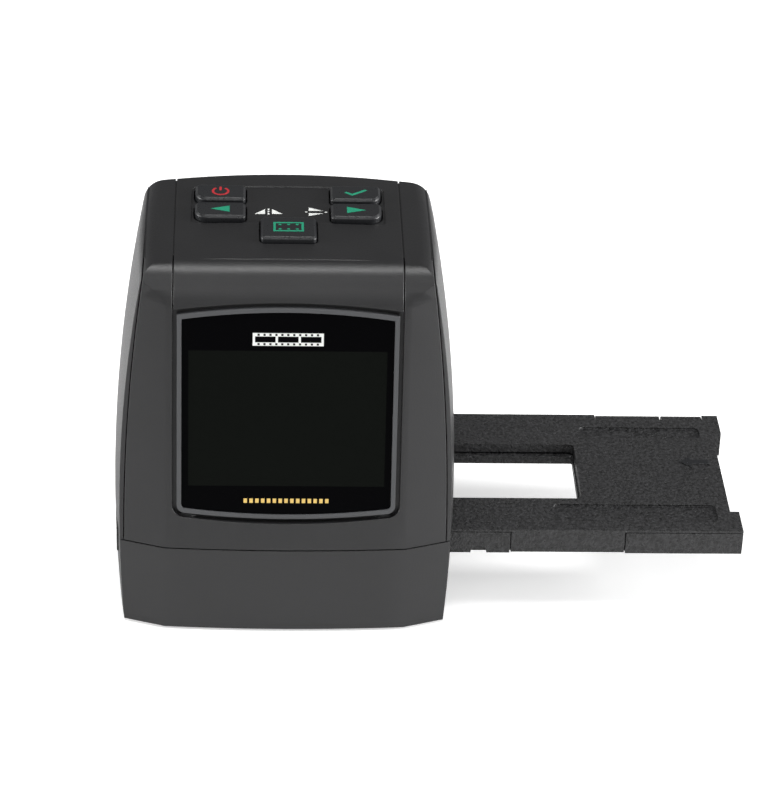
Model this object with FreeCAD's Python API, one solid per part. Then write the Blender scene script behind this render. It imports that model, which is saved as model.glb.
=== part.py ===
import FreeCAD, Part
import math
import os

# Stand-alone film scanner for 35 mm strips, in millimetres. +Z is up, the screen faces -Y and the
# film holder sticks out towards +X. The origin is on the table, under the middle of the casing.
V = FreeCAD.Vector
UP = V(0, 0, 1)
RIGHT = V(1, 0, 0)

# Casing: its sides bulge in plan and draw in towards the top, each by a parabola.
wall = 2.2
groove = 0.25
overrun = 60.0
foot_drop = 0.8
split_z = 25.6
casing_height = 102.4
casing_half_width = 45.2
top_narrowing = 8.0
plan_bulge = 3.3
bulge_y = -3.0
shoulder_radius = 4.4
crown_front = 0.3
crown_rear = 1.3
top_slope_deg = 2.6

# Front: a bowed middle with a flat facet on each side, leaning back above the base.
front_y = -42.8
front_half = 31.3
front_bow = 1.1
front_bow_top = 0.2
facet_deg = 19.0
front_lean_deg = 10.3

# Back: bowed, with rounded corners, leaning forward above the base.
rear_y = 42.0
rear_lean_run = 24.4
rear_half = 30.0
rear_bow = 1.6
rear_corner_radius = 12.0
rear_corner_deg = 62.0

# Roll at the front of the top, the crease under it and the slope down to the screen.
roll_radius = 4.6
crease_back = 15.6
crease_drop = 5.5
slope_start_drop = 14.8
slope_sag = 0.9

# Seams between the casing's parts.
rim_groove_depth = 0.6
rim_groove_height = 0.35
side_seam_inset = 0.45
strip_half = 29.0
strip_gap = 0.35
rear_seam_drop = 6.8
ledge = 1.5
ledge_width = 3.2
ledge_rear_margin = 3.0

# Screen opening, measured up the leaning front from the base seam.
bezel_half = 28.15
bezel_low = 10.0
bezel_low_bow = 1.7
bezel_over = 0.8
bezel_high_bow = 2.0
bezel_corner = 2.2
bezel_rim = 1.15
bezel_groove = 1.2
bezel_thick = 2.0
bezel_proud = 0.3
glass_seat = 1.6
glass_thick = 1.0
glass_sunk = 0.35
glass_gap = 0.1
seat_thick = 1.5
seat_width = 1.4
lcd_drop = 1.0
lcd_width = 53.0
lcd_margin = 11.1
lcd_thick = 3.2
lcd_lip = 1.6

# Film holder: a base and a lid on hinge barrels along the rear edge.
axis_y = -3.6
holder_end_inset = 1.2
holder_length = 164.8
holder_depth = 58.6
holder_drop = 0.5
holder_thick = 7.1
lid_thick = 2.7
lid_cap = 0.6
rim_gap = 0.2
rim_wall = 1.5
rail_width = 8.5
belly = 1.6
frame_pitch = 38.0
frame_count = 3
frame_from_end = 59.8
frame_long = 36.0
frame_short = 24.6
lid_window_long = 36.6
lid_window_short = 27.4
film_width = 35.4
film_gap = 0.5
lug_depth = 9.6
end_set_back = 2.4
grip_recess = 0.5
grip_reach_share = 0.28
grip_deep = 8.4
plate_low = 4.4
plate_deep = 5.6
tab_from_end = 31.3
tab_length = 30.0
tab_gap = 0.3
catch_thick = 0.9
notch_radius = 2.1
notch_from_end = 69.8
notch_depth = 1.1
knuckle_radius = 2.5
knuckle_back = 1.3
knuckle_gap = 0.3
lid_knuckle = 18.0
base_knuckle = 11.4
hinge_end = 4.6
pin_radius = 0.8
pin_play = 0.05

# Slot and guide that the holder slides in.
slot_play = 0.45
slot_floor_play = 0.4
deck_play = 0.2
deck_thick = 2.2
deck_margin = 8.2
guide_wall = 1.5
light_long = 38.0
light_short = 26.0
diffuser_lip = 1.6
diffuser_thick = 1.6
diffuser_play = 0.2
leaf_thick = 0.3
leaf_height = 3.6
leaf_half = 9.0
leaf_x = -10.0
leaf_bump = 1.0
leaf_gap = 0.25

# Back light under the film.
board_thick = 1.6
light_post_height = 4.0
light_board_long = 46.0
light_board_short = 34.0
led_size = 3.0
led_tall = 1.2
led_rows = 2
led_columns = 4
led_pitch = 9.6
post_radius = 2.4

# Optics above the film.
tower_leg_height = 2.6
tower_drop = 42.4
tower_foot_long = 44.0
tower_foot_short = 33.0
tower_neck = 19.0
tower_wall = 1.8
tower_flange = 2.0
tower_leg = 5.0
lens_radius = 7.0
lens_ring_radius = 8.4
lens_ring = 3.2
lens_bore = 5.0
lens_length = 17.0
lens_sunk = 7.0
lens_play = 0.1
lens_edge = 0.8
sensor_side = 24.0
sensor_chip = 9.0
sensor_chip_tall = 1.2
spacer_half = 1.6
spacer_share = 0.38

# Keys on the top.
key_travel = 0.7
key_proud = 1.3
key_gap = 0.35
key_flange = 0.9
key_flange_thick = 1.0
key_edge = 0.6
key_seat_gap = 0.2
pair_x = 17.55
pair_width = 13.1
power_row_back = 9.1
key_row_pitch = 8.85
pair_depth = 8.0
scan_width = 14.3
scan_depth = 11.6
key_corner = 1.3
key_round = 3.4
pad_recess = 0.25
pad_half = 25.0
pad_margin = 4.8
stem_half = 1.4
switch_side = 6.0
switch_tall = 3.6
switch_button_radius = 1.5
switch_button = 0.9
key_board_drop = 10.0
key_board_half = 26.0
key_board_front_margin = 7.8
key_board_back_margin = 5.9
key_post_radius = 2.0

# Main board and its sockets, measured up the leaning back from the base seam.
main_board_depth = 9.0
main_board_half = 30.0
main_board_low = 5.2
main_board_top_margin = 15.4
board_post_x = 26.0
board_post_inset = 5.0
socket_row = 10.0
usb_x = -17.0
usb_width = 7.7
usb_height = 3.9
usb_wall = 0.4
usb_tongue = 1.2
jack_x = -3.0
jack_width = 7.4
jack_height = 6.4
jack_nose_radius = 2.9
jack_bore = 1.8
jack_bore_wall = 1.1
card_x = 15.0
card_width = 26.0
card_height = 3.4
card_slot_width = 24.2
card_slot_height = 2.3
socket_play = 0.3
socket_sunk = 0.6
ribbon_thick = 0.3
ribbon_width = 10.0
ribbon_x = 24.0
ribbon_low_share = 0.28

# Feet, screws and their bosses.
foot_radius = 4.4
foot_seat = 1.2
foot_play = 0.1
foot_side_inset = 12.7
foot_front_inset = 11.8
foot_rear_inset = 15.5
boss_radius = 2.7
boss_front_x = 25.5
boss_front_inset = 4.7
boss_rear_x = 29.0
boss_rear_inset = 7.4
boss_grip = 9.0
boss_web = 2.0
screw_radius = 1.15
screw_head_radius = 2.1
screw_head = 1.6
screw_play = 0.25
screw_seat = 1.4

base_low = foot_drop
floor_z = base_low + wall
light_board_z = floor_z + light_post_height
half_depth = -front_y
reach_y = half_depth + 2 * wall
rise = casing_height - split_z
top_slope = math.tan(math.radians(top_slope_deg))
front_lean = math.radians(front_lean_deg)
rear_lean = math.atan2(rear_lean_run, rise)
rear_top_y = rear_y - rear_lean_run
crease_y = front_y + crease_back
crease_z = casing_height - crease_drop
slope_start_z = casing_height - slope_start_drop
rear_seam_z = casing_height - rear_seam_drop
bezel_high = (slope_start_z - split_z) / math.cos(front_lean) + bezel_over
lcd_mid = (bezel_low + bezel_high) / 2 - lcd_drop
lcd_height = bezel_high - bezel_low - lcd_margin
holder_left = holder_end_inset - casing_half_width
holder_right = holder_left + holder_length
holder_low = split_z - holder_drop - holder_thick
holder_top = holder_low + holder_thick
holder_front = axis_y - holder_depth / 2
holder_rear = axis_y + holder_depth / 2
lid_low = holder_top - lid_thick
hinge_y = holder_rear + knuckle_back - knuckle_radius
hinge_z = holder_top - knuckle_radius
frame_places = [holder_right - frame_from_end - frame_pitch * i for i in range(frame_count)]
tab_right = holder_right - tab_from_end
tab_left = tab_right - tab_length
slot_front = holder_front - slot_play
slot_rear = holder_rear + knuckle_back + slot_play
slot_low = holder_low - slot_floor_play
deck_half = casing_half_width - deck_margin
deck_top = holder_low - deck_play
deck_low = deck_top - deck_thick
tower_low = split_z + tower_leg_height
tower_high = casing_height - tower_drop
power_y = rear_top_y - power_row_back
arrow_y = power_y - key_row_pitch
scan_y = arrow_y - key_row_pitch
pad_front = arrow_y - pad_margin
pad_back = power_y + pad_margin
key_board_front = scan_y - key_board_front_margin
key_board_back = power_y + key_board_back_margin
main_board_high = (rear_seam_z - split_z) / math.cos(rear_lean) - main_board_top_margin
foot_x = casing_half_width - foot_side_inset
foot_front_y = front_y + foot_front_inset
foot_rear_y = rear_y - foot_rear_inset
boss_front_y = front_y + boss_front_inset
boss_rear_y = rear_y - boss_rear_inset


def box(x0, x1, y0, y1, z0, z1):
    """Return a block between the given faces."""
    return Part.makeBox(x1 - x0, y1 - y0, z1 - z0, V(x0, y0, z0))


def rod(radius, low, high, x=0, y=0):
    """Return an upright cylinder."""
    return Part.makeCylinder(radius, high - low, V(x, y, low), UP)


def rod_x(radius, x0, x1, y, z):
    """Return a cylinder along X."""
    return Part.makeCylinder(radius, x1 - x0, V(x0, y, z), RIGHT)


def line(a, b):
    """Return a straight edge."""
    return Part.makeLine(a, b)


def arc(a, b, c):
    """Return the round edge through three points."""
    return Part.Arc(a, b, c).toShape()


def bend(a, b, c):
    """Return the parabola from a to c whose end tangents meet at b."""
    curve = Part.BezierCurve()
    curve.setPoles([a, b, c])
    return curve.toBSpline().toShape()


def polygon(points):
    """Return the flat face inside straight lines through the points."""
    return Part.Face(Part.makePolygon(list(points) + [points[0]]))


def prism(edges, direction):
    """Return the solid swept from the face inside the edges."""
    return Part.Face(Part.Wire(edges)).extrude(direction)


def joined(shapes):
    """Return the union of the shapes, with shared faces merged."""
    whole = shapes[0]
    if len(shapes) > 1:
        whole = whole.fuse(shapes[1:])
    return whole.removeSplitter()


def rounded_edges(half_x, half_y, radii, x, y, z):
    """Return the edges of a rectangle whose four corners are round, from the front left one."""
    edges = []
    ends = []
    signs = ((-1, -1), (1, -1), (1, 1), (-1, 1))
    for (sx, sy), r in zip(signs, radii):
        corner = V(x + sx * half_x, y + sy * half_y, z)
        along_y = corner - V(0, sy * r, 0)
        along_x = corner - V(sx * r, 0, 0)
        middle = corner - V(sx * r, sy * r, 0) * (1 - math.sqrt(0.5))
        first, last = (along_y, along_x) if sx * sy > 0 else (along_x, along_y)
        ends.append((first, middle, last))
    for i, (first, middle, last) in enumerate(ends):
        edges.append(arc(first, middle, last))
        edges.append(line(last, ends[(i + 1) % len(ends)][0]))
    return edges


def rounded_block(half_x, half_y, radii, z0, z1, x=0, y=0):
    """Return an upright block with four round corners."""
    return prism(rounded_edges(half_x, half_y, radii, x, y, z0), UP * (z1 - z0))


def on_front(shape):
    """Move a shape drawn flat onto the leaning front: X stays, Y runs up it and Z points out of it."""
    shape.Placement = FreeCAD.Placement(V(0, front_y - bezel_proud, split_z),
                                        FreeCAD.Rotation(RIGHT, 90 - front_lean_deg))
    return shape


def on_back(shape):
    """Move a shape drawn flat onto the leaning back: X stays, Y runs up it and Z points into it."""
    turn = FreeCAD.Rotation(RIGHT, 90 + math.degrees(rear_lean))
    shape.Placement = FreeCAD.Placement(V(0, rear_y, split_z), turn)
    return shape


def side_x(y, z, inset):
    """Return the casing's half width at a height and depth."""
    lean = top_narrowing * ((z - split_z) / rise) ** 2
    bulge = plan_bulge * ((y - bulge_y) / half_depth) ** 2
    return casing_half_width - inset - lean - bulge


def side_poles(y, z0, z1, inset, sign):
    """Return the side's outline between two heights, as the poles of a parabola."""
    slope = -2 * top_narrowing * (z0 - split_z) / rise ** 2
    low = V(sign * side_x(y, z0, inset), y, z0)
    high = V(sign * side_x(y, z1, inset), y, z1)
    return [low, V(low.x + sign * slope * (z1 - z0) / 2, y, (z0 + z1) / 2), high]


def shoulder_z(y, inset):
    """Return the height of the top's edge at a depth."""
    return casing_height - crown_rear - inset + (y - rear_top_y) * top_slope


def crown_at(y):
    """Return how far the middle of the top stands above its edges at a depth."""
    share = (y + half_depth) / (2 * half_depth)
    return crown_front + (crown_rear - crown_front) * share


def mirrored(poles):
    """Return the poles on the other side of the casing, in the order that closes an outline."""
    return [V(-p.x, p.y, p.z) for p in reversed(poles)]


def upper_section(y, inset, low):
    """Return the poles of each edge of the upper casing's outline at a depth."""
    edge_z = shoulder_z(y, inset)
    if inset > shoulder_radius / 2 - groove:
        return plain_section(y, inset, low, edge_z)
    radius = shoulder_radius - inset
    bend_z = edge_z - radius
    slope = -2 * top_narrowing * (bend_z - split_z) / rise ** 2
    side = side_x(y, bend_z, inset)
    tip = side + slope * radius
    flat = tip - radius
    right = side_poles(y, low, bend_z, inset, 1)
    round_off = [V(side, y, bend_z), V(tip, y, edge_z), V(flat, y, edge_z)]
    crown = [V(flat, y, edge_z), V(0, y, edge_z + 2 * crown_at(y)), V(-flat, y, edge_z)]
    floor = [V(-right[0].x, y, low), V(0, y, low), right[0]]
    return [floor, right, round_off, crown, mirrored(round_off), mirrored(right)]


def plain_section(y, inset, low, edge_z):
    """Return the poles of each edge of an outline whose top corners are sharp."""
    right = side_poles(y, low, edge_z, inset, 1)
    tip = right[2]
    crown = [tip, V(0, y, edge_z + 2 * crown_at(y)), V(-tip.x, y, edge_z)]
    floor = [V(-right[0].x, y, low), V(0, y, low), right[0]]
    return [floor, right, crown, mirrored(right)]


def base_section(y, inset, low, high):
    """Return the poles of each edge of the base's outline at a depth."""
    right = side_poles(y, low, high, inset, 1)
    floor = [V(-right[0].x, y, low), V(0, y, low), right[0]]
    return [floor, right, [right[2], V(0, y, high), V(-right[2].x, y, high)], mirrored(right)]


def block_through(sections):
    """Return the solid whose skin runs as exact parabolas through three outlines."""
    faces = []
    for first, middle, last in zip(*sections):
        between = [2 * b - (a + c) * 0.5 for a, b, c in zip(first, middle, last)]
        faces.append(patch_from([first, between, last]))
    for outline in (sections[0], sections[2]):
        faces.append(Part.Face(Part.Wire([bend(*poles) for poles in outline])))
    shell = Part.Shell(Part.makeShell(faces).Faces)
    shell.sewShape()
    solid = Part.Solid(shell)
    if solid.Volume < 0:
        solid.reverse()
    return solid


def patch_from(rows):
    """Return the face of the surface with these rows of poles."""
    surface = Part.BezierSurface()
    surface.increase(len(rows) - 1, len(rows[0]) - 1)
    for i, row in enumerate(rows):
        for j, pole in enumerate(row):
            surface.setPole(i + 1, j + 1, pole)
    return surface.toShape()


def front_wire(z, inset):
    """Return the outline, at a height, of all that lies behind the front."""
    lean = max(z - split_z, 0)
    edge_y = front_y + lean * math.tan(front_lean) + inset / math.cos(front_lean)
    share = min(lean / rise, 1)
    bow = front_bow + (front_bow_top - front_bow) * share
    far_y = edge_y + (overrun - front_half) * math.tan(math.radians(facet_deg))
    corners = [V(front_half, edge_y, z), V(overrun, far_y, z), V(overrun, overrun, z)]
    corners += [V(-overrun, overrun, z), V(-overrun, far_y, z), V(-front_half, edge_y, z)]
    edges = [line(corners[i], corners[i + 1]) for i in range(len(corners) - 1)]
    edges.append(arc(corners[-1], V(0, edge_y - bow, z), corners[0]))
    return Part.Wire(edges)


def front_block(inset, low, high):
    """Return the space behind the front between two heights."""
    return Part.makeLoft([front_wire(low, inset), front_wire(high, inset)], True, True)


def back_edges(z, inset):
    """Return the outline, at a height, of all that lies in front of the back."""
    y = rear_y - inset
    turn = math.radians(rear_corner_deg)
    r = rear_corner_radius
    start = V(rear_half, y, z)
    middle = V(rear_half + r * math.sin(turn / 2), y - r * (1 - math.cos(turn / 2)), z)
    end = V(rear_half + r * math.sin(turn), y - r * (1 - math.cos(turn)), z)
    far = end + V(math.cos(turn), -math.sin(turn), 0) * overrun
    mirror = [V(-p.x, p.y, p.z) for p in (start, middle, end, far)]
    edges = [arc(mirror[0], V(0, y + rear_bow, z), start), arc(start, middle, end), line(end, far)]
    edges += [line(far, V(far.x, -overrun, z)), line(V(far.x, -overrun, z), V(-far.x, -overrun, z))]
    edges += [line(V(-far.x, -overrun, z), mirror[3]), line(mirror[3], mirror[2])]
    edges.append(arc(mirror[2], mirror[1], mirror[0]))
    return edges


def roll_cut(inset):
    """Return what the roll, the crease and the slope above the screen take off the casing's front."""
    start = V(0, front_y + (slope_start_z - split_z) * math.tan(front_lean), slope_start_z)
    crease = V(0, crease_y, crease_z)
    chord = crease - start
    out = V(0, -chord.z, chord.y).normalize()
    roll_z = shoulder_z(crease_y + roll_radius, 0) + crown_front - roll_radius
    half = roll_radius * math.sqrt(0.5)
    roll_low = V(0, crease_y, roll_z)
    roll_mid = V(0, crease_y + roll_radius - half, roll_z + half)
    roll_top = V(0, crease_y + roll_radius, roll_z + roll_radius)
    edges = [arc(start, (start + crease) * 0.5 + out * slope_sag, crease)]
    if roll_z > crease_z:
        edges.append(line(crease, roll_low))
    else:
        roll_low = crease
    edges.append(arc(roll_low, roll_mid, roll_top))
    high = roll_top + UP * overrun
    front = V(0, -2 * overrun, high.z)
    low = V(0, -2 * overrun, start.z)
    edges += [line(roll_top, high), line(high, front), line(front, low), line(low, start)]
    cut = prism(edges, RIGHT * (2 * overrun))
    cut.translate(V(-overrun, inset, -inset))
    return cut


def upper_block(inset, low):
    """Return the upper casing as one solid block, drawn in by the inset."""
    block = block_through([upper_section(y, inset, low - wall) for y in (-reach_y, 0, reach_y)])
    block = block.common(front_block(inset, low, casing_height + wall))
    back = prism(back_edges(split_z - overrun, inset), UP * (2 * overrun + rise))
    back.rotate(V(0, rear_y, split_z), RIGHT, math.degrees(rear_lean))
    return block.common(back).cut(roll_cut(inset))


def base_block(inset, low, high):
    """Return the base as one solid block, drawn in by the inset."""
    block = block_through([base_section(y, inset, low - wall, high + wall) for y in (-reach_y, 0, reach_y)])
    block = block.common(front_block(inset, low, high))
    return block.common(prism(back_edges(low, inset), UP * (high - low)))


def centre_zone(inset):
    """Return the space between the two side seams, which follow the front's side edges."""
    low = split_z - wall
    high = casing_height + wall
    middle = (split_z + high) / 2
    reach = side_seam_inset + inset
    at_low = side_x(front_y, split_z, reach)
    at_high = side_x(crease_y, casing_height, reach)
    at_middle = at_low + (at_high - at_low) / 4
    right = arc(V(at_low, 0, split_z), V(at_middle, 0, middle), V(at_high, 0, high))
    left = arc(V(-at_high, 0, high), V(-at_middle, 0, middle), V(-at_low, 0, split_z))
    edges = [right, line(V(at_high, 0, high), V(-at_high, 0, high)), left]
    edges += [line(V(-at_low, 0, split_z), V(-at_low, 0, low)), line(V(-at_low, 0, low), V(at_low, 0, low))]
    edges.append(line(V(at_low, 0, low), V(at_low, 0, split_z)))
    zone = prism(edges, V(0, 2 * overrun, 0))
    zone.translate(V(0, -overrun, 0))
    return zone


def screen_edges(grow, z):
    """Return the edges of the screen frame's outline, grown by a margin, drawn flat."""
    half = bezel_half + grow
    low = bezel_low - grow
    high = bezel_high + grow
    r = max(bezel_corner + grow, groove)
    turn = r * (1 - math.sqrt(0.5))
    low_left = V(-half + r, low - bezel_low_bow * r / half, z)
    low_right = V(-low_left.x, low_left.y, z)
    edges = [arc(low_left, V(0, low - bezel_low_bow, z), low_right)]
    edges.append(arc(low_right, V(half - turn, low_left.y + turn, z), V(half, low_left.y + r, z)))
    edges.append(line(V(half, low_left.y + r, z), V(half, high, z)))
    edges.append(arc(V(half, high, z), V(0, high + bezel_high_bow, z), V(-half, high, z)))
    edges.append(line(V(-half, high, z), V(-half, low_left.y + r, z)))
    edges.append(arc(V(-half, low_left.y + r, z), V(-half + turn, low_left.y + turn, z), low_left))
    return edges


def screen_slab(grow, deep, shallow):
    """Return the screen outline, grown by a margin, as a slab between two depths in the front."""
    return on_front(prism(screen_edges(grow, -deep), UP * (deep - shallow)))


def boss_places():
    """Return the places of the four screws that hold the casing together."""
    front = [(-boss_front_x, boss_front_y), (boss_front_x, boss_front_y)]
    return front + [(-boss_rear_x, boss_rear_y), (boss_rear_x, boss_rear_y)]


def foot_places():
    """Return the places of the four feet."""
    return [(x, y) for y in (foot_front_y, foot_rear_y) for x in (-foot_x, foot_x)]


def boss_with_web(x, y, low, high):
    """Return a screw boss and the web that ties it to the front or back wall."""
    out = wall + boss_radius
    side = -out if y < 0 else out
    web = box(x - boss_web / 2, x + boss_web / 2, min(y, y + side), max(y, y + side), low, high)
    return rod(boss_radius, low, high, x, y).fuse(web)


def make_base_shell():
    """Return the lower casing: a tub with holder slots, screw bosses and foot pockets."""
    outer = base_block(0, base_low, split_z)
    room = base_block(wall, floor_z, split_z)
    skin = base_block(rim_groove_depth, base_low, split_z)
    rim_low = split_z - rim_groove_height
    rim = outer.cut(skin).common(box(-overrun, overrun, -overrun, overrun, rim_low, split_z))
    shell = outer.cut(room).cut(rim)
    bosses = [boss_with_web(x, y, floor_z - wall / 2, split_z) for x, y in boss_places()]
    posts = [rod(post_radius, floor_z - wall / 2, light_board_z, x, y) for x, y in light_post_places()]
    shelf = guide_shelf()
    inside = base_block(wall / 2, base_low + wall / 2, split_z)
    extra = joined(bosses + posts + shelf).common(inside)
    shell = shell.fuse(extra)
    cuts = [box(-overrun, overrun, slot_front, slot_rear, slot_low, split_z + wall)
            .cut(box(-deck_half, deck_half, -overrun, overrun, base_low, split_z + wall))]
    for x, y in boss_places():
        head = screw_head + screw_seat
        cuts.append(rod(screw_radius + screw_play, base_low, split_z, x, y))
        cuts.append(rod(screw_head_radius + screw_play, base_low, base_low + head, x, y))
    for x, y in foot_places():
        cuts.append(rod(foot_radius + foot_play, base_low, base_low + foot_seat, x, y))
    return shell.cut(Part.Compound(cuts)).removeSplitter()


def light_post_places():
    """Return the places of the posts under the back light board."""
    x = light_board_long / 2 - post_radius
    y = light_board_short / 2 - post_radius
    return [(sx * x, axis_y + sy * y) for sy in (-1, 1) for sx in (-1, 1)]


def guide_shelf():
    """Return the ribs on the base's floor that carry the holder's guide."""
    ribs = []
    for sign in (-1, 1):
        x = sign * (deck_half - wall)
        ribs.append(box(x - wall / 2, x + wall / 2, slot_front, slot_rear, floor_z - wall / 2, deck_low))
    return ribs


def make_tray_guide():
    """Return the deck and walls that the film holder slides between, with its light opening."""
    front = slot_front - guide_wall
    rear = slot_rear + guide_wall
    parts = [box(-deck_half, deck_half, front, rear, deck_low, deck_top)]
    parts.append(box(-deck_half, deck_half, front, slot_front, deck_top, split_z))
    parts.append(box(-deck_half, deck_half, slot_rear, rear, deck_top, split_z))
    guide = joined(parts)
    half_long = light_long / 2
    half_short = light_short / 2
    front_y0 = axis_y - half_short
    rear_y1 = axis_y + half_short
    guide = guide.cut(box(-half_long, half_long, front_y0, rear_y1, deck_low, deck_top))
    lip = diffuser_lip + diffuser_play
    pocket_top = deck_low + diffuser_thick
    pocket = box(-half_long - lip, half_long + lip, front_y0 - lip, rear_y1 + lip, deck_low, pocket_top)
    guide = guide.cut(pocket)
    for x, y in boss_places()[:2]:
        guide = guide.cut(rod(boss_radius + socket_play, deck_low, split_z, x, y))
    window = box(leaf_x - leaf_half / 2, leaf_x + leaf_half / 2, front, slot_front,
                 deck_top + wall / 2, split_z)
    return guide.cut(window)


def make_diffuser():
    """Return the opal plate between the back light and the film."""
    half_long = light_long / 2 + diffuser_lip
    half_short = light_short / 2 + diffuser_lip
    return box(-half_long, half_long, axis_y - half_short, axis_y + half_short,
               deck_low, deck_low + diffuser_thick)


def make_detent_spring():
    """Return the leaf spring whose bump drops into the holder's notches."""
    y = slot_front - guide_wall - leaf_thick
    z0 = deck_top + wall
    reach = holder_front - leaf_gap - (y + leaf_thick)
    half = leaf_bump + reach
    front = [V(leaf_x - leaf_half, y, z0), V(leaf_x - half, y, z0), V(leaf_x, y + reach, z0)]
    front += [V(leaf_x + half, y, z0), V(leaf_x + leaf_half, y, z0)]
    back = [p + V(0, leaf_thick, 0) for p in reversed(front)]
    return polygon(front + back).extrude(UP * leaf_height)


def make_backlight_board():
    """Return the board that carries the back light."""
    x = light_board_long / 2
    y = light_board_short / 2
    return box(-x, x, axis_y - y, axis_y + y, light_board_z, light_board_z + board_thick)


def make_backlight_leds():
    """Return the rows of light chips on their board."""
    z = light_board_z + board_thick
    chips = []
    for row in range(led_rows):
        y = axis_y + (row - (led_rows - 1) / 2) * led_pitch
        for column in range(led_columns):
            x = (column - (led_columns - 1) / 2) * led_pitch
            half = led_size / 2
            chips.append(box(x - half, x + half, y - half, y + half, z, z + led_tall))
    return Part.Compound(chips)


def top_zone(inset):
    """Return the centre strip's space, from the back edge over the top to the screen."""
    half = strip_half + strip_gap - inset
    zone = box(-half, half, -overrun, overrun, rear_seam_z + inset, casing_height + wall)
    front = box(-half, half, -overrun, 0, split_z, rear_seam_z + wall)
    screen = screen_slab(bezel_groove, overrun, -overrun)
    below = on_front(box(-overrun, overrun, -overrun, bezel_high - bezel_corner, -overrun, overrun))
    return zone.fuse(front.cut(screen).cut(below)).removeSplitter()


def pad_zone(low, high):
    """Return the shallow recess around the keys."""
    y = (pad_front + pad_back) / 2
    half_y = (pad_back - pad_front) / 2
    return rounded_block(pad_half, half_y, [key_corner] * 4, low, high, 0, y)


def keys():
    """Return each key's name, centre, half sizes and corner radii from the front left one."""
    half_w = pair_width / 2
    half_d = pair_depth / 2
    left = (key_round, key_corner, key_corner, key_corner)
    right = (key_corner, key_round, key_corner, key_corner)
    square = (key_corner,) * 4
    table = [("power_button", -pair_x, power_y, half_w, half_d, left)]
    table.append(("left_button", -pair_x, arrow_y, half_w, half_d, left))
    table.append(("ok_button", pair_x, power_y, half_w, half_d, right))
    table.append(("right_button", pair_x, arrow_y, half_w, half_d, right))
    table.append(("scan_button", 0, scan_y, scan_width / 2, scan_depth / 2, square))
    return table


def top_z(x, y):
    """Return the height of the top's surface over a point."""
    return shoulder_z(y, 0) + crown_at(y) * (1 - (x / casing_half_width) ** 2)


def make_top_panel(outer, room):
    """Return the centre strip with its key wells and the posts for the key board."""
    panel = outer.cut(room).common(top_zone(strip_gap))
    high = casing_height + wall
    surface = upper_block(pad_recess, split_z)
    skin = outer.cut(surface).common(pad_zone(rear_seam_z, high))
    panel = panel.cut(skin)
    board_top = casing_height - key_board_drop
    posts = [rod(key_post_radius, board_top, high, x, y) for x, y in key_post_places()]
    panel = panel.fuse(Part.Compound(posts).common(upper_block(wall / 2, split_z)))
    wells = []
    for _, x, y, half_w, half_d, radii in keys():
        grown = [r + key_gap for r in radii]
        low = rear_seam_z - wall
        wells.append(rounded_block(half_w + key_gap, half_d + key_gap, grown, low, high, x, y))
    return panel.cut(Part.Compound(wells)).removeSplitter()


def key_post_places():
    """Return the places of the posts between the top strip and the key board."""
    x = key_board_half - key_post_radius
    rear = key_board_back - key_post_radius
    front = key_board_front + key_post_radius
    return [(-x, front), (x, front), (-pair_x / 3, rear), (pair_x / 3, rear)]


def make_front_hood(outer, room, deep):
    """Return the front casing: the lower front, both cheeks and the ledges under strip and screen."""
    shell = outer.cut(room).common(centre_zone(groove / 2))
    behind = box(-overrun, overrun, 0, overrun, split_z - wall, rear_seam_z)
    shell = shell.cut(behind).cut(top_zone(0)).cut(screen_slab(bezel_groove, bezel_thick, -overrun))
    seat_low = bezel_thick
    seat = screen_slab(bezel_groove + ledge_width / 2, seat_low + seat_thick, seat_low)
    seat = seat.cut(screen_slab(-seat_width, seat_low + seat_thick, seat_low))
    inner = room.cut(deep)
    half = strip_half + ledge_width / 2
    rear_edge = rear_top_y - ledge_rear_margin
    strip = box(-half, half, crease_y, overrun, rear_seam_z - wall, casing_height)
    window = box(-half + ledge_width, half - ledge_width, crease_y - wall, rear_edge,
                 rear_seam_z - 2 * wall, casing_height)
    rails = inner.common(strip).cut(window)
    posts = [boss_with_web(x, y, split_z, split_z + boss_grip) for x, y in boss_places()[:2]]
    inside = upper_block(wall / 2, split_z)
    shell = shell.cut(screen_slab(-seat_width, seat_low + seat_thick, 0))
    extra = Part.Compound([seat.common(room), rails] + [p.common(inside) for p in posts])
    hood = shell.fuse(extra.Solids if extra.Solids else extra)
    hood = hood.cut(screen_slab(-seat_width, overrun / 2, seat_low))
    for x, y in boss_places()[:2]:
        hood = hood.cut(rod(screw_radius, split_z, split_z + boss_grip - wall, x, y))
    return hood.removeSplitter()


def make_side_panel(outer, room, sign):
    """Return one side of the upper casing."""
    shell = outer.cut(room).cut(centre_zone(-groove / 2))
    half = box(0, overrun, -overrun, overrun, split_z, casing_height + wall)
    if sign < 0:
        half = box(-overrun, 0, -overrun, overrun, split_z, casing_height + wall)
    return shell.common(half)


def board_posts():
    """Return the flat places of the posts that carry the main board."""
    low = main_board_low + board_post_inset
    high = main_board_high - board_post_inset
    return [(x, q) for q in (low, high) for x in (-board_post_x, board_post_x)]


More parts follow.
